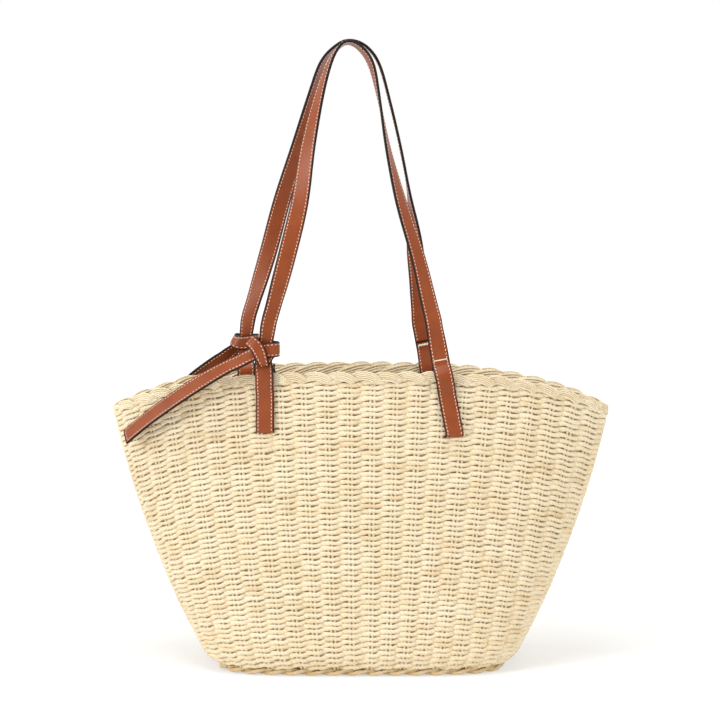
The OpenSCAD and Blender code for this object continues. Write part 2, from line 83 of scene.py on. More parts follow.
# Cords of a border bundle, outside and inside: their number, radius and distance apart
OUTER_BUNDLE, INNER_BUNDLE = (5, 0.84, 1.72), (3, 1.1, 2.45)
# Spread of the bundles' places along the mouth, in stakes, and of their heights, as a share
BUNDLE_WANDER, BUNDLE_LIFT = 0.05, 0.04
FOOT_TURNS, STATIONS_PER_TURN = 36, 10
FOOT_STRANDS, STRAND_CORDS = 2, 3
STRAND_R, STRAND_TWIST_R, FOOT_CORD_R = 1.85, 0.85, 1.25
BASE_ROW_STEP, BASE_ROW_GAP = 2.5, 1.5

# Tones of the straw, from 0, deep, to 1, pale: a middle and a spread
WALL_TONE, STITCH_TONE_SPREAD, ROW_TONE_SPREAD = 0.5, 0.1, 0.04
STAKE_TONE, BORDER_TONE, FOOT_TONE = (0.62, 0.15), (0.6, 0.15), (0.45, 0.12)
BASE_TONE, BASE_TONE_SPREAD = 0.45, 0.25

# Strap
STRAP_W, STRAP_T, CLEAR = 17, 2.8, 0.3
TIED_SLIT_Z, SEWN_SLIT_Z, BEND_R = 228, 224, 3
# Rows part at a slit by an opening, eased in close to it, that fades up and down and to the sides
SLIT_OPEN, SLIT_EASE, SLIT_FADE, SLIT_REACH = 1.3, 1.2, 7, 0.62 * STRAP_W
FOLD_Z = WALL_TOP + BORDER_H + 38
KNOT_Z = FOLD_Z - 19
TACK_END, STRAIGHT = 4, 3
# A leg has a place of its own this far below the rim, and at this share of the way from slit to rim
RIM_DROP, LEG_SHARE = 7, 0.4
SEWN_LEAN, TIED_LEAN = 0.19, 0.13
PLY = STRAP_T + CLEAR
OUT_O = STRAP_T / 2 + 1.5 * CLEAR
IN_O = -WALL_T - OUT_O
BULGE = (BORDER_T - WALL_T + BORDER_LEAN) / 2
RIM_OUT_O, RIM_IN_O = OUT_O + BULGE, IN_O - BULGE
TACK_O, KNOT_O = (PLY - WALL_T) / 2, 1
STATION_STEP = 1.3
STITCH_STEP, STITCH_INSET = 3.3, 2.3
EDGE_PAINT = 1.0
# Relief of the faces: depth and width of the groove under a seam, the crown, and how far the flat lies in
GROOVE, GROOVE_W, CROWN, FACE_IN = 0.16, 0.7, 0.12, 0.14
CREST_GAP, KNOT_PINCH = 2.5, 0.78
# Where the standing strap is pinched, as heights over the knot's middle and shares of the width, and where
# its lean ends
STAND_PINCHES, LEAN_END = ((8, KNOT_PINCH), (-4, KNOT_PINCH), (-13, 1)), -12
# The strap narrows towards the knot, from a share of the arch's rise down to the fold line
FOLD_PINCH, PINCH_END = 0.86, 0.14
# The straps' pieces part below the fold line, and the fold's bend lies between two heights
CUT_Z, FOLD_LOW, FOLD_HIGH = FOLD_Z - 8, FOLD_Z - 6.5, FOLD_Z + 11
TAIL_ROOT, TAIL_BEND = 1.6, 12
# Least number of stations in a stretch
LEAST_STATIONS = 20


def mix(a, b, f):
    """Value a share f of the way from a to b."""
    return a * (1 - f) + b * f


def smooth_step(f):
    """Share that starts and ends gently: three of its squares less two of its cubes."""
    g = np.clip(f, 0, 1)
    return g * g * (3 - 2 * g)


def unit(v):
    """Vectors divided by their lengths."""
    v = np.asarray(v, float)
    return v / np.linalg.norm(v, axis=-1, keepdims=True)


def flat_power(v, p):
    """Power of a number's size, with the number's sign."""
    return np.sign(v) * np.abs(v) ** p


# The body's surface


def foot_in(t):
    """Rounding of the foot: a square that fades out at a share of the height."""
    return FOOT_ROUND * np.maximum(1 - t / FOOT_SHARE, 0) ** 2


def half_w(t):
    """Half the width: from base to mouth along a square curve that swells the sides."""
    return BASE_W / 2 + (MOUTH_W - BASE_W) / 2 * t * (SIDE_SWELL + (1 - SIDE_SWELL) * t) - foot_in(t)


def half_d(t):
    """Half the depth: straight from base to mouth."""
    return mix(BASE_D, MOUTH_D, t) / 2 - foot_in(t)


def square_at(t):
    """Exponent of the plan's superellipse: squarish at the base and rounder at the mouth."""
    return MOUTH_SQUARE + (BASE_SQUARE - MOUTH_SQUARE) * np.clip(1 - t, 0, 1) ** SQUARE_EASE


def dip_at(across, t):
    """Fall of the rows towards the ends: a power of the share across, larger with height."""
    return CORNER_DROP * t * (2 - t) * np.abs(across) ** CORNER_TURN


def height_at(across, t):
    """Height of the wall: the share of its height, less the fall towards the ends."""
    return EDGING_D + WALL_H * t - dip_at(across, t)


def plan_point(angle, t, inset):
    """Superellipse of the plan at height share t: width and depth shares are cosine and sine to a power."""
    p = 2 / square_at(t)
    across = flat_power(np.cos(angle), p)
    through = flat_power(np.sin(angle), p)
    places = ((half_w(t) - inset) * across, (half_d(t) - inset) * through, height_at(across, t))
    return np.stack(np.broadcast_arrays(*places), axis=-1)


PLAN_LEVELS, PLAN_STEPS = 12, 720


def plan_angles():
    """Angles that step evenly round the plan, one line of the table to each level of height."""
    levels = np.linspace(0, 1, PLAN_LEVELS + 1)
    angles = np.linspace(0, 2 * math.pi, 4 * PLAN_STEPS + 1)
    points = plan_point(angles[None], levels[:, None], WALL_T / 2)
    gaps = np.linalg.norm(np.diff(points, axis=1), axis=2)
    lengths = np.concatenate([np.zeros((PLAN_LEVELS + 1, 1)), np.cumsum(gaps, axis=1)], axis=1)
    shares = np.linspace(0, 1, PLAN_STEPS + 1)
    return np.stack([np.interp(shares, line / line[-1], angles) for line in lengths])


ANGLE_TABLE = plan_angles()


def angle_at(share, t):
    """Angle at a share of the way round and a height share, between the four nearest entries of the table."""
    turn = np.floor(share)
    column = (share - turn) * PLAN_STEPS
    level = np.clip(t, 0, 1) * PLAN_LEVELS
    i = np.minimum(column.astype(int), PLAN_STEPS - 1)
    k = np.minimum(np.asarray(level).astype(int), PLAN_LEVELS - 1)
    f, g = column - i, level - k
    low = mix(ANGLE_TABLE[k, i], ANGLE_TABLE[k, i + 1], f)
    high = mix(ANGLE_TABLE[k + 1, i], ANGLE_TABLE[k + 1, i + 1], f)
    return mix(low, high, g) + 2 * math.pi * turn


def wall_middle(share, t):
    """Middle of the wall at a share of the way round and a height share."""
    share, t = np.broadcast_arrays(np.asarray(share, float), np.asarray(t, float))
    return plan_point(angle_at(share, t), t, WALL_T / 2)


def level_out(along):
    """Direction outwards from a line: its own, turned a quarter turn on the level."""
    return np.stack([along[..., 1], -along[..., 0], 0 * along[..., 0]], axis=-1)


def ring_steps(lines):
    """Direction along closed lines at each point: from the one before to the one after."""
    return np.roll(lines, -1, axis=1) - np.roll(lines, 1, axis=1)


def ring_shares(stations):
    """Even shares of the way round, as one line of a grid."""
    return np.arange(stations)[None] / stations


def wall_frame(share, t):
    """Middle of the wall with its directions: along the rows, by two places near it, level out, and up."""
    step = 0.0008
    middle = wall_middle(share, t)
    along = unit(wall_middle(share + step, t) - wall_middle(share - step, t))
    out = unit(level_out(along))
    up = unit(np.cross(out, along))
    return middle, along, out, up


# Meshes


def grid_quads(rows, columns, ring_rows=False, ring_columns=True):
    """Corner numbers of the quads between neighbouring points of a grid, whose ends join if it is a ring."""
    i = np.arange(rows if ring_rows else rows - 1)[:, None]
    j = np.arange(columns if ring_columns else columns - 1)[None]
    k, m = (i + 1) % rows, (j + 1) % columns
    corners = (i * columns + j, k * columns + j, k * columns + m, i * columns + m)
    return np.stack(np.broadcast_arrays(*corners), axis=-1).reshape(-1, 4)


def grid_uv(along, around):
    """Corner coordinates for those quads: the value along at each end, and around at each side."""
    a, b = along[:-1, None], along[1:, None]
    c, d = around[None, :-1], around[None, 1:]
    corners = [np.stack(np.broadcast_arrays(*pair), axis=-1) for pair in ((a, c), (b, c), (b, d), (a, d))]
    return np.stack(corners, axis=2).reshape(-1, 4, 2)


def tube_ends(rings, sides):
    """Corner numbers of the faces that close a tube's first and last ring."""
    return [np.arange(sides)[None], (rings - 1) * sides + np.arange(sides)[::-1][None]]


def repeated(shapes, copies, size):
    """Arrays of faces, repeated for each copy of a shape of so many points."""
    shift = np.arange(copies)[:, None, None] * size
    return [(faces[None] + shift).reshape(-1, faces.shape[1]) for faces in shapes]


def mesh_piece(name, points, faces, uv=None, tone=None, finishes=(), finish_of=None):
    """Object with its place in its mesh: points in millimetres, faces as arrays of equal-sided polygons.

    The first array is smooth and the others, which close the ends, are flat.
    """
    mesh = bpy.data.meshes.new(name)
    points = np.asarray(points, np.float32).reshape(-1, 3) * MM
    mesh.vertices.add(len(points))
    mesh.vertices.foreach_set("co", points.ravel())
    loops = np.concatenate([f.ravel() for f in faces]).astype(np.int32)
    totals = np.concatenate([np.full(len(f), f.shape[1]) for f in faces])
    mesh.loops.add(len(loops))
    mesh.loops.foreach_set("vertex_index", loops)
    mesh.polygons.add(len(totals))
    mesh.polygons.foreach_set("loop_start", (np.cumsum(totals) - totals).astype(np.int32))
    mesh.update(calc_edges=True)
    mesh.polygons.foreach_set("use_smooth", np.arange(len(totals)) < len(faces[0]))
    if uv is not None:
        layer = mesh.uv_layers.new(name="run")
        flat = np.zeros((len(loops), 2), np.float32)
        flat[:uv.size // 2] = uv.reshape(-1, 2)
        layer.data.foreach_set("uv", flat.ravel())
    if tone is not None:
        attribute = mesh.attributes.new("tone", "FLOAT", "POINT")
        attribute.data.foreach_set("value", np.asarray(tone, np.float32).ravel())
    for finish in finishes:
        mesh.materials.append(finish)
    if finish_of is not None:
        mesh.polygons.foreach_set("material_index", finish_of.astype(np.int32))
    mesh.update()
    piece = bpy.data.objects.new(name, mesh)
    bpy.context.scene.collection.objects.link(piece)
    return piece


def cord_piece(name, lines, out, radii, finish, tone, ring=False, sides=CORD_SIDES):
    """Round or oval cords: an ellipse about each line, the cosine of its turn outwards and the sine across.

    lines and out are arrays of (cords, stations, 3). The radii, outwards and across, are a pair of numbers or
    of (cords, stations) arrays.
    """
    cords, stations = lines.shape[:2]
    if ring:
        way = ring_steps(lines)
        gaps = np.linalg.norm(np.roll(lines, -1, axis=1) - lines, axis=2)
    else:
        way = np.gradient(lines, axis=1)
        gaps = np.linalg.norm(np.diff(lines, axis=1), axis=2)
    way = unit(way)
    across = unit(np.cross(out, way))
    out = unit(np.cross(way, across))
    turn = np.arange(sides) * 2 * math.pi / sides
    through_r, across_r = [np.broadcast_to(r, lines.shape[:2])[..., None, None] for r in radii]
    points = (lines[:, :, None] + through_r * np.cos(turn)[:, None] * out[:, :, None]
              + across_r * np.sin(turn)[:, None] * across[:, :, None])
    shapes = [grid_quads(stations, sides, ring_rows=ring)] + ([] if ring else tube_ends(stations, sides))
    faces = repeated(shapes, cords, stations * sides)
    around = np.arange(sides + 1) / sides
    lengths = np.concatenate([np.zeros((cords, 1)), np.cumsum(gaps, axis=1)], axis=1) * MM
    uv = np.concatenate([grid_uv(line, around) for line in lengths])
    tones = np.broadcast_to(np.asarray(tone)[..., None], (cords, stations, sides))
    return mesh_piece(name, points, faces, uv, tones, [finish])


# Finishes


class Signal:
    """A socket in a material. Arithmetic with numbers or other signals adds Math nodes."""

    def __init__(self, finish, socket):
        self.finish = finish
        self.socket = socket

    def math(self, operation, first, second=0.0):
        return self.finish.node("ShaderNodeMath", {"operation": operation}, {0: first, 1: second})

    def __add__(self, other):
        return self.math("ADD", self, other)

    def __sub__(self, other):
        return self.math("SUBTRACT", self, other)

    def __rsub__(self, other):
        return self.math("SUBTRACT", other, self)

    def __mul__(self, other):
        return self.math("MULTIPLY", self, other)

    def wave(self):
        return self.math("SINE", self)

    __radd__ = __add__
    __rmul__ = __mul__


class Nodes:
    """The nodes of a material or of the world."""

    def __init__(self, tree):
        self.tree = tree

    def join(self, socket, value):
        if isinstance(value, Signal):
            self.tree.links.new(value.socket, socket)
        else:
            socket.default_value = value

    def node(self, kind, settings=None, inputs=None, output=0):
        """Any node: its settings, a ramp's stops among them, then its sockets' values or links."""
        node = self.tree.nodes.new(kind)
        for name, value in (settings or {}).items():
            if name == "stops":
                self.set_stops(node.color_ramp.elements, value)
            else:
                setattr(node, name, value)
        for key, value in (inputs or {}).items():
            self.join(node.inputs[key], value)
        return Signal(self, node.outputs[output])

    @staticmethod
    def set_stops(elements, stops):
        while len(elements) < len(stops):
            elements.new(0.5)
        for element, (position, colour) in zip(elements, stops):
            element.position = position
            element.color = colour

    def shows_backdrop(self):
        """1 for rays that see the backdrop: the camera's, mirrored ones and those through clear pieces."""
        seen = self.node("ShaderNodeLightPath")
        outputs = seen.socket.node.outputs
        return seen + Signal(self, outputs["Is Glossy Ray"]) + Signal(self, outputs["Is Transmission Ray"])


class Finish(Nodes):
    """A material and its nodes. Constants go straight to the shader's sockets."""

    def __init__(self, name, **constants):
        self.material = bpy.data.materials.new(name)
        self.material.use_nodes = True
        super().__init__(self.material.node_tree)
        self.shader = self.tree.nodes["Principled BSDF"]
        for words, value in constants.items():
            self.put(words.replace("_", " ").title().replace("Ior", "IOR"), value)

    def put(self, name, value):
        self.join(self.shader.inputs[name], value)

    def blend(self, factor, first, second, kind="MIX"):
        settings = {"data_type": "RGBA", "blend_type": kind}
        return self.node("ShaderNodeMix", settings, {0: factor, 6: first, 7: second}, output=2)

    def noise(self, vector, scale, detail=2.0, roughness=0.5):
        inputs = {"Vector": vector, "Scale": scale, "Detail": detail, "Roughness": roughness}
        return self.node("ShaderNodeTexNoise", None, inputs)

    def place(self):
        return self.node("ShaderNodeTexCoord", output=3)

    def ramp(self, value, *stops):
        return self.node("ShaderNodeValToRGB", {"stops": stops}, {0: value})

    def bump(self, height, strength, distance):
        inputs = {"Height": height, "Strength": strength, "Distance": distance}
        self.put("Normal", self.node("ShaderNodeBump", None, inputs))


def colour(red, green, blue):
    """A colour written as it looks on screen, 0 to 255, in the linear numbers that a shader takes."""
    shares = np.array([red, green, blue]) / 255
    linear = np.where(shares <= 0.04045, shares / 12.92, ((shares + 0.055) / 1.055) ** 2.4)
    return (*[float(x) for x in linear], 1.0)


# Streaks of the straw to a metre of cord and to a turn round it, and its twist: radians to a metre, and lines
STREAK_RATES = (420.0, 5.0, 1.0)
TWIST_RATE, TWIST_LINES = 1900.0, 2


def straw_finish(name, pale, deep, shadow):
    """Twisted paper cord: a tone to each stitch, streaks along the cord, and fine twist lines round it."""
    finish = Finish(name, specular_ior_level=0.3)
    run = finish.node("ShaderNodeUVMap", {"uv_map": "run"})
    along = finish.node("ShaderNodeSeparateXYZ", None, {0: run})
    around = Signal(finish, along.socket.node.outputs[1])
    tone = finish.node("ShaderNodeAttribute", {"attribute_name": "tone"}, output=2)
    blotch = finish.noise(finish.place(), scale=38.0, detail=3.0)
    drawn_out = finish.node("ShaderNodeVectorMath", {"operation": "MULTIPLY"}, {0: run, 1: STREAK_RATES})
    streak = finish.noise(drawn_out, scale=1.0)
    twist = (along * TWIST_RATE + around * (2 * math.pi * TWIST_LINES)).wave()
    worn = tone * 0.5 + blotch * 0.35 + streak * 0.35 - 0.1
    tint = finish.ramp(worn, (0.18, shadow), (0.45, deep), (0.8, pale))
    finish.put("Base Color", finish.blend(0.16 - twist * 0.16, tint, deep, "MULTIPLY"))
    finish.put("Roughness", 0.6 + streak * 0.2)
    finish.bump(twist * 0.5 + streak * 0.8, strength=0.5, distance=0.00025)
    return finish.material


def leather_finish(name, lit, deep):
    """Smooth tan leather: mottled colour, fine pebble grain and a soft shine."""
    finish = Finish(name, specular_ior_level=0.36)
    place = finish.place()
    mottle = finish.noise(place, scale=55.0, detail=4.0, roughness=0.6)
    fine = finish.noise(place, scale=900.0)
    pebble_inputs = {"Vector": place, "Scale": 1500.0, "Randomness": 1.0}
    pebble = finish.node("ShaderNodeTexVoronoi", {"feature": "DISTANCE_TO_EDGE"}, pebble_inputs)
    tint = finish.ramp(mottle, (0.3, deep), (0.7, lit))
    finish.put("Base Color", finish.blend(fine * 0.25, tint, deep))
    finish.put("Roughness", 0.3 + mottle * 0.12 + fine * 0.06)
    finish.bump(pebble * 2.0 + fine * 0.4, strength=0.25, distance=0.0002)
    return finish.material


def edge_finish():
    """Black edge paint: slightly uneven, with a dull shine."""
    finish = Finish("edge_paint", specular_ior_level=0.2)
    uneven = finish.noise(finish.place(), scale=420.0, detail=3.0)
    finish.put("Base Color", finish.ramp(uneven, (0.3, colour(16, 12, 12)), (0.75, colour(34, 26, 24))))
    finish.put("Roughness", 0.45 + uneven * 0.2)
    finish.bump(uneven, strength=0.3, distance=0.0002)
    return finish.material


def thread_finish():
    """Waxed off-white thread with a fine twist."""
    finish = Finish("thread", roughness=0.55, specular_ior_level=0.3)
    place = finish.place()
    fleck = finish.noise(place, scale=700.0)
    finish.put("Base Color", finish.ramp(fleck, (0.25, colour(226, 205, 182)), (0.7, colour(248, 236, 220))))
    twist_inputs = {"Vector": place, "Scale": 900.0}
    twist = finish.node("ShaderNodeTexWave", {"bands_direction": "DIAGONAL"}, twist_inputs)
    finish.bump(twist, strength=0.4, distance=0.0001)
    return finish.material


STRAW = straw_finish("straw", colour(238, 229, 208), colour(227, 212, 182), colour(206, 178, 132))
# Darker copy of the straw for the foot rope and the base: painted shade, for the shade that falls under the
# bag
STRAW_PAINTED_SHADE = straw_finish(
    "straw_shade", colour(234, 218, 189), colour(220, 198, 157), colour(191, 161, 114))
LEATHER = leather_finish("leather", colour(142, 67, 21), colour(127, 56, 14))
EDGE = edge_finish()
THREAD = thread_finish()


# Woven body


def stitch_values(rows, spread):
    """One random number to each stitch of each row."""
    return random.normal(0, spread, (rows, STAKES))


def between_stakes(values, stake):
    """Those numbers along the rows, eased from each stake to the next."""
    low = np.floor(stake).astype(int)
    f = smooth_step(stake - low)
    return mix(values[:, low % STAKES], values[:, (low + 1) % STAKES], f)


def cord_tones(tone, lines):
    """One random tone to each cord, the same along it."""
    return np.broadcast_to(random.normal(*tone, (len(lines), 1)), lines.shape[:2])


def slit_centres():
    """Places of the four slits: x, height, and -1 for the front or 1 for the back."""
    places = [(h["knot_x"], TIED_SLIT_Z, -h["side"]) for h in (FRONT, BACK)]
    return places + [(sewn_x(h, SEWN_SLIT_Z + BEND_R), SEWN_SLIT_Z, -h["side"]) for h in (FRONT, BACK)]


def open_slits(points):
    """Rows part above and below each slit, by a push that fades over a few rows and past the strap."""
    lift = np.zeros(points.shape[:-1])
    for x, z, side in slit_centres():
        near = np.exp(-(((points[..., 0] - x) / SLIT_REACH) ** 4)) * (points[..., 1] * side > 0)
        rise = points[..., 2] - z
        lift += SLIT_OPEN * np.tanh(rise / SLIT_EASE) * np.exp(-((rise / SLIT_FADE) ** 2)) * near
    points[..., 2] += lift
    return points


def weave_lines(share, row, middle, out, up):
    """Centre lines of woven rows, and shares of their girth.

    A row goes in and out of the stakes by a flattened cosine. It lies low where it comes out and high where
    it goes in, by a sine to a power, and tilts back over each stake by a sine of twice the turn. Its girth is
    greatest at the crossings, more so where it comes out.
    """
    rows, stake = len(row), share * STAKES
    phase = math.pi * (stake + row + between_stakes(stitch_values(rows, PLACE_SPREAD), stake[0]))
    swing = np.tanh(STITCH_FLATNESS * np.cos(phase)) / math.tanh(STITCH_FLATNESS)
    slant = ROW_SLANT * np.sin(phase) * np.abs(np.sin(phase)) ** 3 - ROW_TILT * np.sin(2 * phase)
    slack = np.abs(between_stakes(stitch_values(rows, DEPTH_SPREAD), stake[0]))
    depth = WEAVE_SWING * swing * (1 - DEPTH_WEIGHT * slack)
    rise = slant + between_stakes(stitch_values(rows, RISE_SPREAD), stake[0])
    squeeze = mix(CROSSING_WIDE, 1, np.abs(np.cos(phase)) ** CROSSING_EASE)
    girth = squeeze * (1 - CROSSING_SKEW * np.sin(phase))
    return middle + out * depth[..., None] + up * rise[..., None], girth


def woven_bands():
    """The wall's rows, in bands from the foot to the border."""
    share = ring_shares(STAKES * STATIONS_PER_STITCH)
    stake = share[0] * STAKES
    tones = stitch_values(ROWS, STITCH_TONE_SPREAD) + random.normal(0, ROW_TONE_SPREAD, (ROWS, 1)) + WALL_TONE
    pieces = []
    for band in range(BANDS):
        row = np.arange(ROWS * band // BANDS, ROWS * (band + 1) // BANDS)[:, None]
        t = (row + ROW_START) / (ROWS - ROW_MARGIN) * WEAVE_TOP
        middle, _, out, up = wall_frame(share, t)
        lines, girth = weave_lines(share, row, middle, out, up)
        lines = open_slits(lines)
        thick = girth * (1 + between_stakes(stitch_values(len(row), GIRTH_SPREAD), stake))
        tone = between_stakes(tones[row[:, 0]], stake)
        radii = (CORD_THROUGH * np.minimum(thick, 1), CORD_ACROSS * thick)
        pieces.append(cord_piece(f"weave_band_{band + 1}", lines, out, radii, STRAW, tone, ring=True))
    return pieces


def stake_cords():
    """Pairs of upright cords in the middle of the wall, from the foot to the border."""
    stake = np.repeat(np.arange(STAKES), 2)[:, None]
    side = np.tile([-1, 1], STAKES)[:, None, None]
    t = np.linspace(0, STAKE_TOP, STAKE_STATIONS)[None]
    middle, along, out, _ = wall_frame(stake / STAKES, t)
    lines = middle + along * side * STAKE_GAP / 2
    tone = cord_tones(STAKE_TONE, lines)
    return cord_piece("stake_cords", lines, out, (STAKE_THROUGH, STAKE_ACROSS), STRAW, tone)


# Routes of one border bundle, outside and inside: stakes to the right, height over the wall, distance
# out from its middle, and share of the bundle's width
OUTER_ROUTE = np.array([
    [0.0, -4, 0.2, 0.5], [0.02, 2.5, 0.4, 0.7], [0.12, 6.2, 0.9, 0.95], [0.36, 8.6, 1.8, 1],
    [0.66, 8.7, 2.8, 1], [0.92, 7.2, 3.5, 1], [1.07, 5.4, 3.4, 0.9], [1.16, 3.6, 2.2, 0.75],
    [1.24, 2.2, -0.4, 0.7], [1.4, 2.0, -2.0, 0.6]])
INNER_ROUTE = np.array([
    [-0.1, 7.4, 0.2, 0.6], [0.25, 8.6, -1.6, 0.9], [0.7, 7.4, -3.2, 1], [1.15, 4.6, -4.0, 1],
    [1.55, 1.8, -4.0, 0.9], [1.85, -0.8, -2.6, 0.7]])


def smooth_rows(rows, steps):
    """Smooth curve through rows of numbers, by the cubic that leaves each row along its neighbours' line."""
    rows = np.asarray(rows, float)
    ends = np.concatenate([rows[:1], rows, rows[-1:]])
    a, b, c, d = [ends[i:len(rows) - 1 + i, None] for i in range(4)]
    f = (np.arange(steps) / steps)[None, :, None]
    square, cube = 2 * a - 5 * b + 4 * c - d, 3 * b - a - 3 * c + d
    curve = (2 * b + (c - a) * f + square * f ** 2 + cube * f ** 3) / 2
    return np.concatenate([curve.reshape(-1, rows.shape[1]), rows[-1:]])


def border_bundles(name, shape, count, cord_r, spacing):
    """Bundles of cords along a route of the border, one from each stake, side by side across the route."""
    route = smooth_rows(shape, steps=4)
    wander = random.normal(0, BUNDLE_WANDER, (STAKES, 1))
    share = (np.arange(STAKES)[:, None] + wander + route[None, :, 0]) / STAKES
    middle, _, out, _ = wall_frame(share, np.ones_like(share))
    lift = route[None, :, 1] * (1 + random.normal(0, BUNDLE_LIFT, (STAKES, 1)))
    lines = middle + out * route[None, :, 2, None]
    lines[..., 2] += lift
    way = unit(np.gradient(lines, axis=1))
    across = unit(np.cross(out, way))
    place = (np.arange(count) - (count - 1) / 2)[:, None] * spacing * route[None, :, 3]
    cords = lines[:, None] + across[:, None] * place[None, :, :, None]
    cords = cords.reshape(-1, *lines.shape[1:])
    tone = cord_tones(BORDER_TONE, cords)
    return cord_piece(name, cords, np.repeat(out, count, axis=0), (cord_r, cord_r), STRAW, tone)


def border_cords():
    """Each stake's cords rise, cross in front of the next stake and tuck in. Others slope down the inside."""
    return (border_bundles("border_cords", OUTER_ROUTE, *OUTER_BUNDLE),
            border_bundles("border_inner_cords", INNER_ROUTE, *INNER_BUNDLE))


def foot_ring(share, inset, height):
    """Level ovals at an inset from the base's edge, and the direction along them."""
    middle = plan_point(angle_at(share, np.zeros_like(share)), 0.0, inset)
    middle[..., 2] = height
    return middle, unit(ring_steps(middle))


def foot_rope():
    """Two strands of three cords along the edge of the base: each strand circles the rope's middle, and each
    cord circles its strand, twice as fast.
    """
    share = ring_shares(FOOT_TURNS * STATIONS_PER_TURN)
    middle, along = foot_ring(share, EDGING_IN + EDGING_D / 2, EDGING_D / 2)
    out = level_out(along)
    up = np.cross(out, along)
    strand = np.repeat(np.arange(FOOT_STRANDS), STRAND_CORDS)[:, None]
    cord = np.tile(np.arange(STRAND_CORDS), FOOT_STRANDS)[:, None]
    turn = math.pi * (share * FOOT_TURNS + strand)
    inner = 2 * math.pi * (share * FOOT_TURNS + cord / STRAND_CORDS)
    a = STRAND_R * np.cos(turn) + STRAND_TWIST_R * np.cos(inner)
    b = STRAND_R * np.sin(turn) + STRAND_TWIST_R * np.sin(inner)
    lines = middle + out * a[..., None] + up * b[..., None]
    outs = np.broadcast_to(out, lines.shape)
    radii = (FOOT_CORD_R, FOOT_CORD_R)
    # The rope's straw is the darker copy, with painted shade
    return cord_piece("foot_rope", lines, outs, radii, STRAW_PAINTED_SHADE, cord_tones(FOOT_TONE, lines), ring=True)


def base_weave():
    """Rows of the base: ovals that shrink to a line in the middle, woven over and under like the wall's."""
    first = EDGING_IN + EDGING_D + BASE_ROW_GAP
    row = np.arange(int((BASE_D / 2 - first - 1) / BASE_ROW_STEP))[:, None]
    share = ring_shares(STAKES * STATIONS_PER_STITCH)
    middle, along = foot_ring(share, first + row * BASE_ROW_STEP, BASE_T / 2)
    out = np.broadcast_to([0.0, 0.0, -1.0], middle.shape)
    up = unit(np.cross(out, along))
    lines, girth = weave_lines(share, row, middle, out, up)
    tone = between_stakes(stitch_values(len(row), BASE_TONE_SPREAD) + BASE_TONE, share[0] * STAKES)
    radii = (CORD_THROUGH, CORD_ACROSS * girth)
    # The base's straw is the darker copy, with painted shade
    return cord_piece("base_weave", lines, out, radii, STRAW_PAINTED_SHADE, tone, ring=True)


# Routes of the straps, in the front handle's form. A row is a place, the face's direction and the width.


# First guess of a height share, rounds that settle it, and how near a place may come to the wall's end
SHARE_GUESS, SHARE_ROUNDS, END_SHARE = 0.7, 9, 0.998
SLOPE_STEP = 2


def share_at(x, z):
    """Height share of the wall at x and z: the height with the fall added, found by repetition."""
    t = SHARE_GUESS
    for _ in range(SHARE_ROUNDS):
        c = min(abs(x) / half_w(t), 1)
        t = float(np.clip((z - EDGING_D + dip_at(c, t)) / WALL_H, 0, 1))
    return t


def depth_at(x, z):
    """Half the depth at x and z, from the plan's superellipse."""
    t = share_at(x, z)
    e = square_at(t)
    return half_d(t) * (1 - min(abs(x) / half_w(t), END_SHARE) ** e) ** (1 / e)


def wall_out(x, z):
    """Level direction out of the front wall, square to the slope of its depth."""
    slope = (depth_at(x + SLOPE_STEP, z) - depth_at(x - SLOPE_STEP, z)) / (2 * SLOPE_STEP)
    return unit([-slope, -1, 0])


def off_wall(x, z, o):
    """Place at a distance o out of the front wall."""
    return np.array([x, -depth_at(x, z), z]) + o * wall_out(x, z)


def wall_top_at(x):
    """Height of the wall's top, less its fall towards the ends."""
    return WALL_TOP - dip_at(2 * x / MOUTH_W, 1)


def row_of(place, face, width=STRAP_W):
    """A row of a route: place, face and width in one line of seven numbers."""
    return np.concatenate([place, face, [width]])


def moved(row, step):
    """A row with its place moved by a step."""
    return np.concatenate([row[:3] + step, row[3:]])


def leg_row(x, z, o, sign):
    """A row along the wall, with its face out of the wall or, for a sign of -1, into it."""
    return row_of(off_wall(x, z, o), sign * wall_out(x, z))


OUTWARDS, INWARDS = np.array([0, -1, 0]), np.array([0, 1, 0])
UP = np.array([0, 0, 1])

# A handle's feet, arch top, tack and tail. Each side has its rise as shares of height and spread, and the
# turn of the strap's face away from the loop as a share of height and degrees.
FRONT = {
    "name": "front", "side": 1, "knot_x": -88.5, "foot_x": 68, "top_x": -12, "arch_h": 265,
    "left": [[0, 1], [0.1, 0.903], [0.25, 0.76], [0.44, 0.6], [0.63, 0.5], [0.8, 0.37], [0.92, 0.24],
             [0.98, 0.12]],
    "left_turn": [[0, -12], [0.1, -25], [0.25, -8], [0.44, 17], [0.63, 38], [0.8, 60], [0.92, 76], [0.98, 88],
                  [1, 95]],
    "right": [[0, 1], [0.1, 0.92], [0.25, 0.8], [0.44, 0.61], [0.63, 0.46], [0.8, 0.36], [0.92, 0.27],
              [0.98, 0.14]],
    "right_turn": [[0, 20], [0.1, 28], [0.25, 40], [0.44, 55], [0.63, 77], [0.8, 93], [0.92, 105],
                   [0.98, 101], [1, 95]],
    "tail_l": 140, "tail_fall": 75, "tack_z": FOLD_Z - 27.5, "fold": "high", "tail_way": unit([-1, 0, -0.53])}
BACK = {
    "name": "back", "side": -1, "knot_x": -113, "foot_x": 58, "top_x": -10.5, "arch_h": 268,
    "left": [[0, 1], [0.1, 0.914], [0.25, 0.79], [0.44, 0.65], [0.63, 0.49], [0.8, 0.36], [0.92, 0.26],
             [0.98, 0.13]],
    "left_turn": [[0, -12], [0.1, -25], [0.25, -8], [0.44, 17], [0.63, 38], [0.8, 60], [0.92, 76], [0.98, 87],
                  [1, 90]],
    "right": [[0, 1], [0.1, 0.972], [0.2, 0.94], [0.44, 0.84], [0.63, 0.7], [0.8, 0.54], [0.92, 0.4],
              [0.98, 0.22]],
    "right_turn": [[0, 0], [0.2, 0], [0.44, 81], [0.63, 90], [1, 90]],
    "tail_l": 124, "tail_fall": 81, "tack_z": FOLD_Z - 21, "fold": "low", "tail_way": unit([-1, 0, -0.71])}


def mirror_of(h):
    """Signs that carry the front handle's form to either handle's own side."""
    return np.array([1, h["side"], 1])


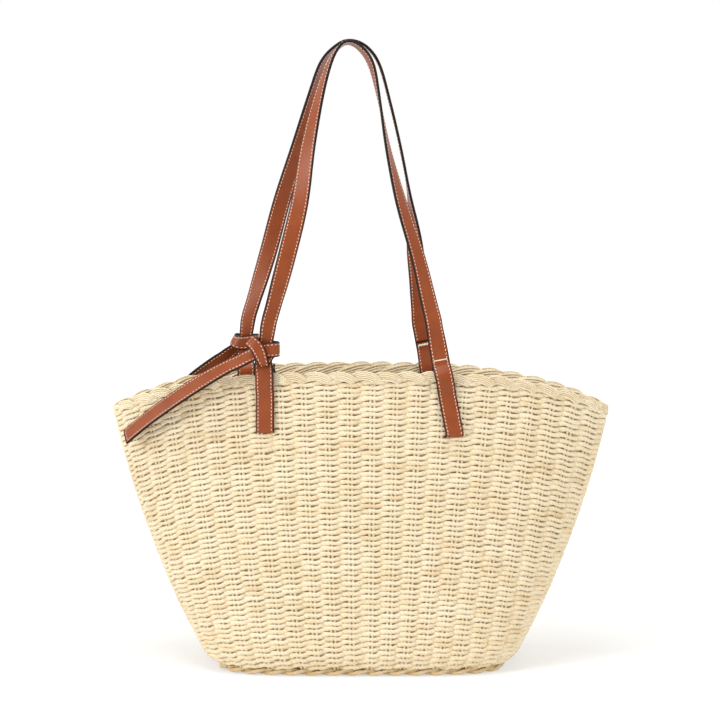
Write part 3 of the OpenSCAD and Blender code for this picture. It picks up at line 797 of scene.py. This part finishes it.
def sewn_x(h, z):
    """Place across of the sewn foot, which leans outwards below the fold line."""
    return h["foot_x"] + SEWN_LEAN * (FOLD_Z - z)


def tied_stand_x(h, z):
    """Place across of the strap that stands in the knot, which leans inwards above it."""
    return h["knot_x"] + TIED_LEAN * max(z - KNOT_Z, LEAN_END)


def knot_y(h):
    """Depth of the strap that stands in the knot, just outside the wall."""
    return -depth_at(h["knot_x"], WALL_TOP) - KNOT_O


def tied_foot(h):
    """Where the arch begins above the knot."""
    return np.array([tied_stand_x(h, FOLD_Z), knot_y(h), FOLD_Z])


def sewn_foot(h):
    """Where the arch begins above the bar tack."""
    return np.array([h["foot_x"], -depth_at(sewn_x(h, WALL_TOP), WALL_TOP) - TACK_O, FOLD_Z])


def foot_face(turns, away):
    """Direction of the strap's face where the arch begins: outwards, turned by the side's first degrees."""
    turn = math.radians(turns[0][1])
    return np.array([away * math.sin(turn), -math.cos(turn), 0])


def slit_turn(x, z):
    """Turn through the slit: a quarter circle down from outside, a straight run, and another up inside."""
    out, low = wall_out(x, z), z + BEND_R
    quarter = np.radians([0, 30, 60, 90])
    down = [row_of(off_wall(x, low - BEND_R * math.sin(a), OUT_O - BEND_R * (1 - math.cos(a))),
                   math.cos(a) * out - math.sin(a) * UP) for a in quarter]
    up = [row_of(off_wall(x, low - BEND_R * math.cos(a), IN_O + BEND_R * (1 - math.sin(a))),
                 -math.sin(a) * out - math.cos(a) * UP) for a in quarter]
    return down[1:] + up[:-1]


def leg_heights(x, slit_z):
    """Heights of a leg's places: under the border's crest, at the rim, below the rim, and above the slit."""
    rim = wall_top_at(x)
    return [rim + BORDER_H - CREST_GAP, rim, rim - RIM_DROP, mix(slit_z + BEND_R, rim, LEG_SHARE)]


# A leg's distances off the wall at those heights and at the slit
OUTSIDE = [RIM_OUT_O, RIM_OUT_O, OUT_O, OUT_O, OUT_O]
INSIDE = [RIM_IN_O, RIM_IN_O, IN_O, IN_O, IN_O]


def leg_rows(x_at, x, slit_z):
    """Rows of a foot's legs, down outside the wall and up inside it, at the place across for each height."""
    heights = leg_heights(x, slit_z) + [slit_z + BEND_R]
    down = [leg_row(x_at(z), z, o, 1) for z, o in zip(heights, OUTSIDE)]
    up = [leg_row(x_at(z), z, o, -1) for z, o in zip(heights, INSIDE)]
    return down, up[::-1]


def sewn_rows(h):
    """Sewn foot: down outside, through the slit, up inside and against itself again."""
    top_x = sewn_x(h, WALL_TOP)
    out_y, in_y = [off_wall(top_x, WALL_TOP, TACK_O - layer)[1] for layer in (0, PLY)]
    ends = [h["tack_z"] + TACK_END, h["tack_z"] - TACK_END]
    down = [row_of(sewn_foot(h), foot_face(h["right_turn"], 1))]
    down += [row_of([sewn_x(h, z), out_y, z], OUTWARDS) for z in ends]
    outer_leg, inner_leg = leg_rows(lambda z: sewn_x(h, z), top_x, SEWN_SLIT_Z)
    up = inner_leg + [row_of([sewn_x(h, z), in_y, z], INWARDS) for z in ends[::-1]]
    turn = slit_turn(sewn_x(h, SEWN_SLIT_Z + BEND_R), SEWN_SLIT_Z)
    return [*smooth_rows(down + outer_leg, steps=2), *turn, *smooth_rows(up, steps=2)]


def tied_rows(h):
    """Tied foot: from the fold line down through the knot, outside the wall, through the slit, up inside."""
    x, y = h["knot_x"], knot_y(h)
    first = knot_row(h, KNOT_START[0])
    down = [row_of(tied_foot(h), foot_face(h["left_turn"], -1), STRAP_W * FOLD_PINCH)]
    down += [row_of([tied_stand_x(h, KNOT_Z + rise), y, KNOT_Z + rise], OUTWARDS, STRAP_W * pinch)
             for rise, pinch in STAND_PINCHES]
    outer_leg, inner_leg = leg_rows(lambda z: x, x, TIED_SLIT_Z)
    up = inner_leg + [row_of(first[:3] - STRAIGHT * UP, INWARDS)]
    turn = slit_turn(x, TIED_SLIT_Z)
    return [*smooth_rows(down + outer_leg, steps=2), *turn, *smooth_rows(up, steps=2)]


# Half hitch. Each turn: place right of the knot's middle, plies in front of the standing strap, height above
# the knot's middle, direction of the face, right, outwards and up, and share of the strap's width. The front
# knot's left fold is pulled high, and the back one's low.
KNOT_START = [
    [0, -1, -14, [0, -1, 0], 0.96],
    [0.4, -1, -9.5, [0, -1, 0], 0.78],
    [3.4, -1, -4, [0, -1, 0], 0.5],
    [7.6, -0.95, -1, [0.5, -0.8, 0], 0.46],
    [9.2, 0, -1, [1, 0, 0], 0.46],
    [7.6, 0.95, -2, [0.5, 0.8, 0], 0.46],
    [4.4, 1.05, -5, [0, 1, 0.1], 0.46],
    [2, 1.3, -9.5, [0, 0.9, 0.4], 0.48],
    [0.2, 2.1, -12.2, [-0.1, 0, 1], 0.52],
    [-1.4, 2.95, -8.8, [-0.1, -0.9, 0.4], 0.6]]
KNOT_FOLDS = {
    "high": [
        [-3.8, 3.1, -2.4, [0, -1, 0], 0.72],
        [-7.2, 3.1, 4.6, [0, -1, 0], 0.76],
        [-11.6, 2.4, 8.8, [0.5, -0.7, -0.5], 0.72],
        [-13.2, 0.4, 9.4, [0.7, 0, -0.7], 0.72],
        [-11.4, -1.6, 7, [0.5, 0.7, -0.5], 0.76],
        [-6, -2.1, 4, [0, 1, 0], 0.8],
        [2, -2.1, 2.4, [0, 1, 0], 0.82]],
    "low": [
        [-3.8, 3.1, -2.8, [0, -1, 0], 0.66],
        [-6.8, 3.1, 1.8, [0, -1, 0], 0.66],
        [-10, 2.6, 3.8, [0.6, -0.7, -0.35], 0.62],
        [-11.6, 0.6, 3.2, [0.85, 0, -0.5], 0.62],
        [-9.6, -1.5, 1.2, [0.65, 0.7, -0.25], 0.72],
        [-4.5, -2.1, 0.2, [0, 1, 0], 0.82],
        [2, -2.1, 0.4, [0, 1, 0], 0.82]]}
KNOT_ENDS = {
    "high": [
        [8.8, -1.9, 2, [-0.5, 0.8, 0], 0.82],
        [12.4, 0, 1.8, [-1, 0, 0], 0.82],
        [8.8, 1.9, 1.6, [-0.5, -0.8, 0], 0.82],
        [1.5, 2.05, 1.1, [0, -1, 0], 0.8],
        [-7, 2, -1, [0, -1, -0.1], 0.76],
        [-14, 1.9, -4.2, [0, -1, -0.5], 0.76],
        [-18.5, 1.9, -6.6, [0, -1, -0.8], 0.82]],
    "low": [
        [8.8, -1.9, 1.6, [-0.5, 0.8, 0], 0.82],
        [12.4, 0, 1.6, [-1, 0, 0], 0.82],
        [8.8, 1.9, 1.2, [-0.5, -0.8, 0], 0.82],
        [1.5, 2.05, -0.2, [0, -1, 0], 0.74],
        [-7, 2, -4.5, [0, -1, -0.1], 0.61],
        [-13, 1.9, -8.6, [0, -1, -0.5], 0.72],
        [-17, 1.9, -11.4, [0, -1, -0.8], 0.82]]}


def knot_row(h, turn):
    """A turn of the hitch as a row: its place from the knot's middle, with depth counted in plies."""
    x, plies, z, face, width = turn
    place = [h["knot_x"] + x, knot_y(h) - PLY * plies, KNOT_Z + z]
    return row_of(place, [face[0], -face[1], face[2]], STRAP_W * width)


def knot_rows(h):
    """The whole hitch: a smooth curve through its turns, after a short straight run."""
    turns = [knot_row(h, turn) for turn in KNOT_START + KNOT_FOLDS[h["fold"]] + KNOT_ENDS[h["fold"]]]
    return [*smooth_rows([moved(turns[0], STRAIGHT * UP)] + turns[1:], steps=2)]


# A tail's places as shares of its run and of its fall, its distance off the wall, the fall over which it
# eases from the border's bulge, the share of its straight run that its bow leaves, and how fast it settles
# and widens
TAIL_SHARE = [0.14, 0.35, 0.6, 0.8, 1]
TAIL_DROP = [0.1, 0.28, 0.53, 0.75, 1]
TAIL_O, TAIL_EASE, TAIL_BOW = 10.5, 40, 0.94
TAIL_SETTLE, TAIL_WIDEN = 2.2, 3


def tail_rows(h):
    """Tail: a smooth curve down to the left that settles off the wall, its face turned inwards and down."""
    root = moved(knot_row(h, KNOT_ENDS[h["fold"]][-1]), (STRAIGHT + CLEAR) * h["tail_way"])
    run = math.sqrt(h["tail_l"] ** 2 - h["tail_fall"] ** 2) * TAIL_BOW
    rows = [moved(root, STRAIGHT * h["tail_way"])]
    for share, drop in zip(TAIL_SHARE, TAIL_DROP):
        x, z = root[0] - run * share, root[2] - h["tail_fall"] * drop
        rim_o = BULGE * (1 - smooth_step((wall_top_at(x) + BORDER_H - z) / TAIL_EASE))
        low = min(z, wall_top_at(x))
        near = (TAIL_O + rim_o) / wall_out(x, low)[1] - depth_at(x, low)
        width = mix(root[6], STRAP_W, smooth_step(share * TAIL_WIDEN))
        rows.append(row_of([x, mix(root[1], near, smooth_step(share * TAIL_SETTLE)), z], [0, 1, -1], width))
    return [*smooth_rows(rows, steps=3)]


def arch_rows(h):
    """Arch from the tied foot to the sewn one: a smooth curve through its shares of height and spread.

    The face turns from outwards to away from the loop, by the cosine and sine of the handle's degrees.
    """
    middle_y = -(STRAP_W / 2 + CLEAR)

    def side(foot, profile, turns):
        shares, degrees = np.array(profile), np.array(turns)
        turn = np.radians(np.interp(shares[:, 0], degrees[:, 0], degrees[:, 1]))
        x = mix(h["top_x"], foot[0], shares[:, 1])
        y = mix(foot[1], middle_y, shares[:, 0])
        return np.stack([x, y, FOLD_Z + mix(STRAIGHT, h["arch_h"], shares[:, 0]), turn], axis=1)

    top = [[h["top_x"], middle_y, FOLD_Z + h["arch_h"], math.radians(h["left_turn"][-1][1])]]
    left = side(tied_foot(h), h["left"], h["left_turn"])
    right = side(sewn_foot(h), h["right"], h["right_turn"])
    line = smooth_rows(np.concatenate([left, top, right[::-1]]), steps=3)[1:-1]
    way = unit(np.gradient(line[:, :3], axis=0))
    outer = unit(np.cross(way, [0, 1, 0]))
    face = np.cos(line[:, 3:]) * OUTWARDS + np.sin(line[:, 3:]) * outer
    rise = (line[:, 2] - FOLD_Z - STRAIGHT) / (h["arch_h"] - STRAIGHT)
    tied_side = np.arange(len(line)) < np.argmax(line[:, 2])
    pinch = np.where(tied_side, mix(FOLD_PINCH, 1, np.clip(rise / PINCH_END, 0, 1)), 1)
    return [*np.concatenate([line[:, :3], face, STRAP_W * pinch[:, None]], axis=1)]


# Rows closer together than this count as one
LEAST_GAP = 0.05


def even_run(rows, step):
    """Even stations along a cubic through the rows, whose slopes weigh each neighbour by its nearness."""
    rows = np.asarray(rows, float)
    gaps = np.linalg.norm(np.diff(rows[:, :3], axis=0), axis=1)
    rows = rows[np.concatenate([[True], gaps > LEAST_GAP])]
    gaps = np.linalg.norm(np.diff(rows[:, :3], axis=0), axis=1)[:, None]
    at = np.concatenate([[0], np.cumsum(gaps)])
    steps = np.diff(rows, axis=0) / gaps
    inner = (steps[:-1] * gaps[1:] + steps[1:] * gaps[:-1]) / (gaps[1:] + gaps[:-1])
    slopes = np.concatenate([steps[:1], inner, steps[-1:]])
    where = np.linspace(0, at[-1], int(at[-1] / step) + 1)
    k = np.clip(np.searchsorted(at, where, side="right") - 1, 0, len(gaps) - 1)
    h = gaps[k]
    f = (where - at[k])[:, None] / h
    g = 1 - f
    bow = f * g * (g * slopes[k] - f * slopes[k + 1]) * h
    return rows[k] * g * g * (1 + 2 * f) + rows[k + 1] * f * f * (1 + 2 * g) + bow, where


def whole_strap(h):
    """A handle's strap from sewn end to tail's tip: places, ways, faces, sides, widths and lengths."""
    rows = sewn_rows(h)[::-1] + arch_rows(h)[::-1] + tied_rows(h) + knot_rows(h) + tail_rows(h)
    run, where = even_run(rows, STATION_STEP)
    mirror = mirror_of(h)
    places, faces = run[:, :3] * mirror, run[:, 3:6] * mirror
    ways = unit(np.gradient(places, axis=0))
    faces = unit(faces - ways * np.sum(faces * ways, axis=1, keepdims=True))
    return {"place": places, "way": ways, "face": faces, "side": np.cross(faces, ways),
            "width": run[:, 6], "at": where}


# Points along each flat of a strap's section, and round each of its edges
FLAT_STEPS, CORNER_STEPS = 10, 4
# Size of a tucked end's last ring, as a share
TUCK = 0.95


def strap_outline():
    """Places round the section: share across the flat, the round edge's reach past it, and height share."""
    flat = np.linspace(-1, 1, FLAT_STEPS)
    corner = np.linspace(0, math.pi, CORNER_STEPS + 2)[1:-1]
    across = np.concatenate([flat, np.ones(CORNER_STEPS), flat[::-1], -np.ones(CORNER_STEPS)])
    reach = np.concatenate([0 * flat, np.sin(corner), 0 * flat, -np.sin(corner)])
    height = np.concatenate([0 * flat + 1, np.cos(corner), 0 * flat - 1, -np.cos(corner)])
    return across, reach, height


def strap_rings(strap, stations):
    """Rings of the strap's outline at the given stations: a square curve crowns each face, less a bell-shaped
    groove under each seam.
    """
    across, reach, height = strap_outline()
    place, side_way, face, width = [strap[key][stations, None] for key in ("place", "side", "face", "width")]
    half = width / 2 - EDGE_PAINT
    near_edge = width / 2 - np.abs(across) * half
    groove = GROOVE * np.exp(-(((near_edge - STITCH_INSET) / GROOVE_W) ** 2))
    crown = CROWN * (1 - across ** 2)
    side = across * half + reach * EDGE_PAINT
    lift = height * (STRAP_T / 2 - FACE_IN + (crown - groove) * (reach == 0))
    return place + side_way * side[..., None] + face * lift[..., None]


def strap_piece(name, strap, first, last, tuck_first, tuck_last):
    """A stretch of strap, from its rings. Its ends are flat. The strap's two real ends are painted black,
    also over the last ring of faces: edge paint, and at the sewn end a painted shadow line too.

    A tucked end runs on into the next stretch, a little smaller, so that no gap opens when the strap bends.
    """
    stations = np.arange(first, last + 1)
    rings = strap_rings(strap, stations)
    sides = rings.shape[1]
    painted = np.ones(sides, int)
    painted[:FLAT_STEPS - 1] = 0
    painted[FLAT_STEPS + CORNER_STEPS:2 * FLAT_STEPS + CORNER_STEPS - 1] = 0
    finish_of = np.tile(painted, (len(stations) - 1, 1))
    points, faces, paints = [rings.reshape(-1, 3)], [grid_quads(len(stations), sides)], []
    for end, step, tucked in ((first, -1, tuck_first), (last, 1, tuck_last)):
        real = end in (0, len(strap["at"]) - 1)
        # A real end's last ring of faces takes the black edge paint, which at the sewn end is also a painted
        # shadow line
        if real:
            finish_of[0 if step < 0 else -1] = 1
        start = sum(map(len, points))
        added = strap_rings(strap, np.array([end, end + step] if tucked else [end]))
        if tucked:
            added[1] = mix(strap["place"][end + step], added[1], TUCK)
            quads = grid_quads(2, sides) + start
            faces.append(quads if step > 0 else quads[:, ::-1])
            paints.append(painted)
        ring = start + (len(added) - 1) * sides + np.arange(sides)
        points.append(added.reshape(-1, 3))
        faces.append((ring if step < 0 else ring[::-1])[None])
        paints.append([int(real)])
    uv = grid_uv(strap["at"][stations] * MM, np.arange(sides + 1) / sides)
    finish_of = np.concatenate([finish_of.ravel(), *paints])
    return mesh_piece(name, np.concatenate(points), faces, uv, None, [LEATHER, EDGE], finish_of)


# One sewing stitch: half a spindle, low and blunt, whose section goes on a little under the leather
STITCH_L, STITCH_W, STITCH_H = 2.2, 0.66, 0.4
STITCH_TILT = 0.16
STITCH_RINGS, STITCH_SIDES = 6, 5
STITCH_BLUNT, STITCH_UNDER, STITCH_FULL = 0.02, 0.25, 0.5
# How deep seams and the one across a tip sit, and the least share of the width from the middle to a seam
SEAM_SINK, TIP_SINK, SEAM_SHARE = 0.26, 0.2, 0.3
# A bar tack's stitches on its two faces: number, slant and size; how deep they sit, and the bare edges
TACK_STITCHES = {"outer": (6, 0.3, (2.9, 1.1, 0.8)), "inner": (5, 0.6, (3.9, 2.2, 1.2))}
TACK_SINK, TACK_MARGIN = 0.1, 4.5


def stitch_dots(name, places, along, across, up, sizes):
    """Stitches as half spindles: width and height follow a flattened sine along the stitch."""
    rings, sides = STITCH_RINGS, STITCH_SIDES
    f = np.linspace(STITCH_BLUNT, 1 - STITCH_BLUNT, rings)[:, None]
    turn = np.linspace(math.pi + STITCH_UNDER, -STITCH_UNDER, sides)[None]
    girth = np.sin(math.pi * f) ** STITCH_FULL
    local = np.stack(np.broadcast_arrays(f - 0.5, girth * np.cos(turn) / 2, girth * np.sin(turn)), axis=-1)
    local = local.reshape(1, -1, 3) * np.asarray(sizes)
    frames = np.stack([along, across, up], axis=1)
    points = places[:, None] + local @ frames
    shapes = [grid_quads(rings, sides)] + tube_ends(rings, sides)
    faces = repeated(shapes, len(places), rings * sides)
    return mesh_piece(name, points, faces, finishes=[THREAD])


def at_length(strap, where):
    """Places, ways, faces and widths at given lengths along a strap, in straight lines between stations."""
    def pick(values):
        columns = values.reshape(len(values), -1).T
        return np.stack([np.interp(where, strap["at"], column) for column in columns], axis=-1)

    return pick(strap["place"]), unit(pick(strap["way"])), unit(pick(strap["face"])), pick(strap["width"])


def strap_stitching(name, strap, start, end, tip=False):
    """Two seams of even stitches on both faces, along the edges, and one across a tail's tip."""
    where = np.arange(math.ceil(start / STITCH_STEP), math.ceil(end / STITCH_STEP)) * STITCH_STEP
    where = where[(where > STITCH_STEP) & (where < strap["at"][-1] - STITCH_STEP)]
    place, way, face, width = at_length(strap, where)
    side = unit(np.cross(way, face))
    sets = []
    for top in (1, -1):
        for edge in (1, -1):
            inset = np.maximum(width / 2 - STITCH_INSET, SEAM_SHARE * width)
            seat = place + side * edge * inset + face * top * (STRAP_T / 2 - SEAM_SINK)
            tilt = STITCH_TILT * edge * top
            along = unit(way + side * tilt)
            sets.append((seat, along, unit(np.cross(face * top, along)), face * top))
    if tip:
        sets += tip_stitches(strap)
    seat, along, across, up = [np.concatenate(values) for values in zip(*sets)]
    return stitch_dots(name, seat, along, across, up, (STITCH_L, STITCH_W, STITCH_H))


def tip_stitches(strap):
    """The seam that runs across the end of a tail, on both faces."""
    place, way, face, width = [value[-1] for value in at_length(strap, strap["at"][-3:])]
    side = unit(np.cross(way, face))
    count = int((width[0] - 2 * STITCH_INSET) / STITCH_STEP)
    across = (np.arange(count) - (count - 1) / 2)[:, None] * STITCH_STEP
    seat = place - way * STITCH_INSET + across * side
    ones = np.ones_like(across)
    return [(seat + face * top * (STRAP_T / 2 - TIP_SINK), side * ones, way * top * ones, face * top * ones)
            for top in (1, -1)]


def bar_tack(h):
    """Bar of slanting stitches across the sewn foot, fine on the outer face and bold on the inner one."""
    mirror = mirror_of(h)
    x = sewn_x(h, h["tack_z"])
    y = off_wall(sewn_x(h, WALL_TOP), WALL_TOP, TACK_O)[1]
    lean = math.atan(SEWN_LEAN)
    across = np.array([math.cos(lean), 0, math.sin(lean)])
    down = np.array([math.sin(lean), 0, -math.cos(lean)])
    pieces = []
    for label, face, layer in (("outer", OUTWARDS, 0), ("inner", INWARDS, PLY)):
        count, slant, size = TACK_STITCHES[label]
        depth = layer + STRAP_T / 2 - TACK_SINK
        steps = (np.arange(count) - (count - 1) / 2)[:, None] * (STRAP_W - TACK_MARGIN) / count
        seat = (np.array([x, y, h["tack_z"]]) + steps * across + depth * face) * mirror
        along = unit((across - slant * down) * mirror)
        up = face * mirror
        repeat = np.ones_like(steps)
        ways = [way * repeat for way in (along, np.cross(up, along), up)]
        pieces.append(stitch_dots(f"{h['name']}_bar_tack_{label}", seat, *ways, size))
    return pieces


def nearest(strap, place, first=0):
    """Number of the station nearest to a place, from a given station on."""
    return first + int(np.argmin(np.linalg.norm(strap["place"][first:] - place, axis=1)))


def carry(piece, body, nodes):
    """Puts a piece on its body, in place of its nodes."""
    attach(piece, body)
    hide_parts(*nodes)


# Stretches of a strap, and those whose first or last end is tucked into its neighbour
STRETCHES = ("sewn_loop", "arch", "tied_loop", "knot", "tail")
TUCKED_FIRST, TUCKED_LAST = ("tied_loop",), ("sewn_loop", "tied_loop", "knot")


def make_handle(h):
    """One strap in stretches, each in place of its face and backing: sewn foot, arch, tied foot, knot and
    tail. All but the arch and the tail go on the bag.
    """
    name = h["name"]
    mirror = mirror_of(h)
    strap = whole_strap(h)
    sewn_cut = np.array([sewn_x(h, CUT_Z), sewn_foot(h)[1], CUT_Z]) * mirror
    tied_cut = np.array([tied_stand_x(h, CUT_Z), knot_y(h), CUT_Z]) * mirror
    knot_start = knot_row(h, KNOT_START[0])[:3] * mirror
    tail_start = knot_row(h, KNOT_ENDS[h["fold"]][-1])[:3] * mirror
    cuts = [0]
    for place in (sewn_cut, tied_cut, knot_start, tail_start):
        cuts.append(nearest(strap, place, cuts[-1] + LEAST_STATIONS))
    cuts.append(len(strap["at"]) - 1)
    for stretch, first, last in zip(STRETCHES, cuts[:-1], cuts[1:]):
        leather = strap_piece(f"{name}_{stretch}_strap", strap, first, last,
                              tuck_first=stretch in TUCKED_FIRST, tuck_last=stretch in TUCKED_LAST)
        seams = strap_stitching(f"{name}_{stretch}_seams", strap, strap["at"][first], strap["at"][last],
                                tip=stretch == "tail")
        for piece in (leather, seams):
            if stretch == "arch":
                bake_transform(piece)
            elif stretch == "tail":
                way = h["tail_way"] * mirror
                tuple((tail_start + TAIL_ROOT * way) * MM)
                tuple((tail_start + TAIL_BEND * way) * MM)
                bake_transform(piece)
            else:
                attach(piece, "bag")
        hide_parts(f"{name}_{stretch}_face", f"{name}_{stretch}_backing")
    for piece in bar_tack(h):
        carry(piece, "bag", [f"{name}_bar_tack"])


for band in woven_bands():
    carry(band, "bag", ["woven_wall"])
carry(stake_cords(), "bag", ["woven_wall"])
for cords in border_cords():
    carry(cords, "bag", ["rim_border"])
carry(foot_rope(), "bag", ["base_edging"])
carry(base_weave(), "bag", ["base_panel"])
for handle in (FRONT, BACK):
    make_handle(handle)


# Floor, light and camera, in metres

FLOOR_R, FLOOR_SIDES = 6.0, 64
FLOOR_COLOUR, WHITE = (0.93, 0.93, 0.93, 1), (1, 1, 1, 1)
# The floor turns from shaded to paper white between two distances: shares of white there, and its strength
NEAR, FAR, NEAR_WHITE, FAR_WHITE, FLOOR_WHITE = 0.3, 0.9, 0.45, 1.0, 1.15
SKY, SKY_LEVEL, PAPER_LEVEL = (1, 0.96, 0.89, 1), 0.66, 1.0
# Each lamp's place, the height that it is aimed at, its size, its watts, and whether it leaves a sheen
LAMPS = {
    "key": ((-2.1, -1.3, 0.9), 0.28, 0.6, 28.5, True),
    "side": ((-2.2, -0.25, 1.3), 0.28, 0.9, 4, True),
    "fill": ((2.0, -1.35, 1.0), 0.25, 1.6, 20, False),
    "top": ((-0.2, -0.35, 2.0), 0.2, 0.9, 14, True)}
CAMERA_DISTANCE, CAMERA_LIFT, AIM_Z = 1.6, math.radians(5.5), 0.290
PHOTO_PIXELS, FOCAL_PIXELS, AXIS_PIXEL = 720, 1684, 361
SENSOR = 36


def floor_finish():
    """White floor: paper white to the camera further off, and with the bag's soft shadow near it."""
    finish = Finish("floor", base_color=FLOOR_COLOUR, roughness=0.9, specular_ior_level=0.1)
    reach = finish.node("ShaderNodeVectorMath", {"operation": "LENGTH"}, {0: finish.place()}, output=1)
    share_inputs = {0: reach, 1: NEAR, 2: FAR, 3: NEAR_WHITE, 4: FAR_WHITE}
    factor = finish.shows_backdrop() * finish.node("ShaderNodeMapRange", None, share_inputs)
    shaded = Signal(finish, finish.shader.outputs[0])
    white = finish.node("ShaderNodeEmission", None, {0: WHITE, 1: FLOOR_WHITE})
    shown = finish.node("ShaderNodeMixShader", None, {0: factor, 1: shaded, 2: white})
    finish.join(finish.tree.nodes["Material Output"].inputs[0], shown)
    return finish.material


def make_floor():
    """Flat disc: a circle of points joined by one face."""
    turn = np.linspace(0, 2 * math.pi, FLOOR_SIDES, endpoint=False)
    points = np.stack([np.cos(turn), np.sin(turn), 0 * turn], axis=1) * FLOOR_R / MM
    floor = mesh_piece("floor", points, [np.arange(FLOOR_SIDES)[None]], finishes=[floor_finish()])


def make_light(name, place, aim_z, size, power, shines):
    """Round soft lamp, aimed at a height over the origin. Without shine, it leaves no sheen on the bag."""
    lamp = bpy.data.lights.new(name, "AREA")
    lamp.shape = "DISK"
    lamp.size = size
    lamp.energy = power
    light = bpy.data.objects.new(name, lamp)
    light.location = place
    light.visible_glossy = shines
    aim = Vector((0, 0, aim_z)) - Vector(place)
    light.rotation_euler = aim.to_track_quat("-Z", "Y").to_euler()
    bpy.context.scene.collection.objects.link(light)


def make_world():
    """Soft light from all round, slightly warm, and a plain white backdrop."""
    world = bpy.data.worlds.new("studio")
    bpy.context.scene.world = world
    world.use_nodes = True
    nodes = Nodes(world.node_tree)
    sky = nodes.node("ShaderNodeBackground", None, {0: SKY, 1: SKY_LEVEL})
    paper = nodes.node("ShaderNodeBackground", None, {0: WHITE, 1: PAPER_LEVEL})
    shown = nodes.node("ShaderNodeMixShader", None, {0: nodes.shows_backdrop(), 1: sky, 2: paper})
    nodes.join(world.node_tree.nodes["World Output"].inputs[0], shown)


def make_camera():
    """Camera raised a few degrees, at a distance from the aim, with the photo's focal length."""
    lens = bpy.data.cameras.new("camera")
    lens.sensor_width = SENSOR
    lens.lens = SENSOR * FOCAL_PIXELS / PHOTO_PIXELS
    camera = bpy.data.objects.new("camera", lens)
    side = -(AXIS_PIXEL - PHOTO_PIXELS / 2) / FOCAL_PIXELS * CAMERA_DISTANCE
    rise = CAMERA_DISTANCE * math.sin(CAMERA_LIFT)
    camera.location = (side, -CAMERA_DISTANCE * math.cos(CAMERA_LIFT), AIM_Z + rise)
    camera.rotation_euler = (math.pi / 2 - CAMERA_LIFT, 0, 0)
    bpy.context.scene.collection.objects.link(camera)
    bpy.context.scene.camera = camera


make_floor()
make_world()
for lamp_name, lamp_values in LAMPS.items():
    make_light(lamp_name, *lamp_values)
make_camera()
bpy.context.scene.view_settings.view_transform = "Standard"
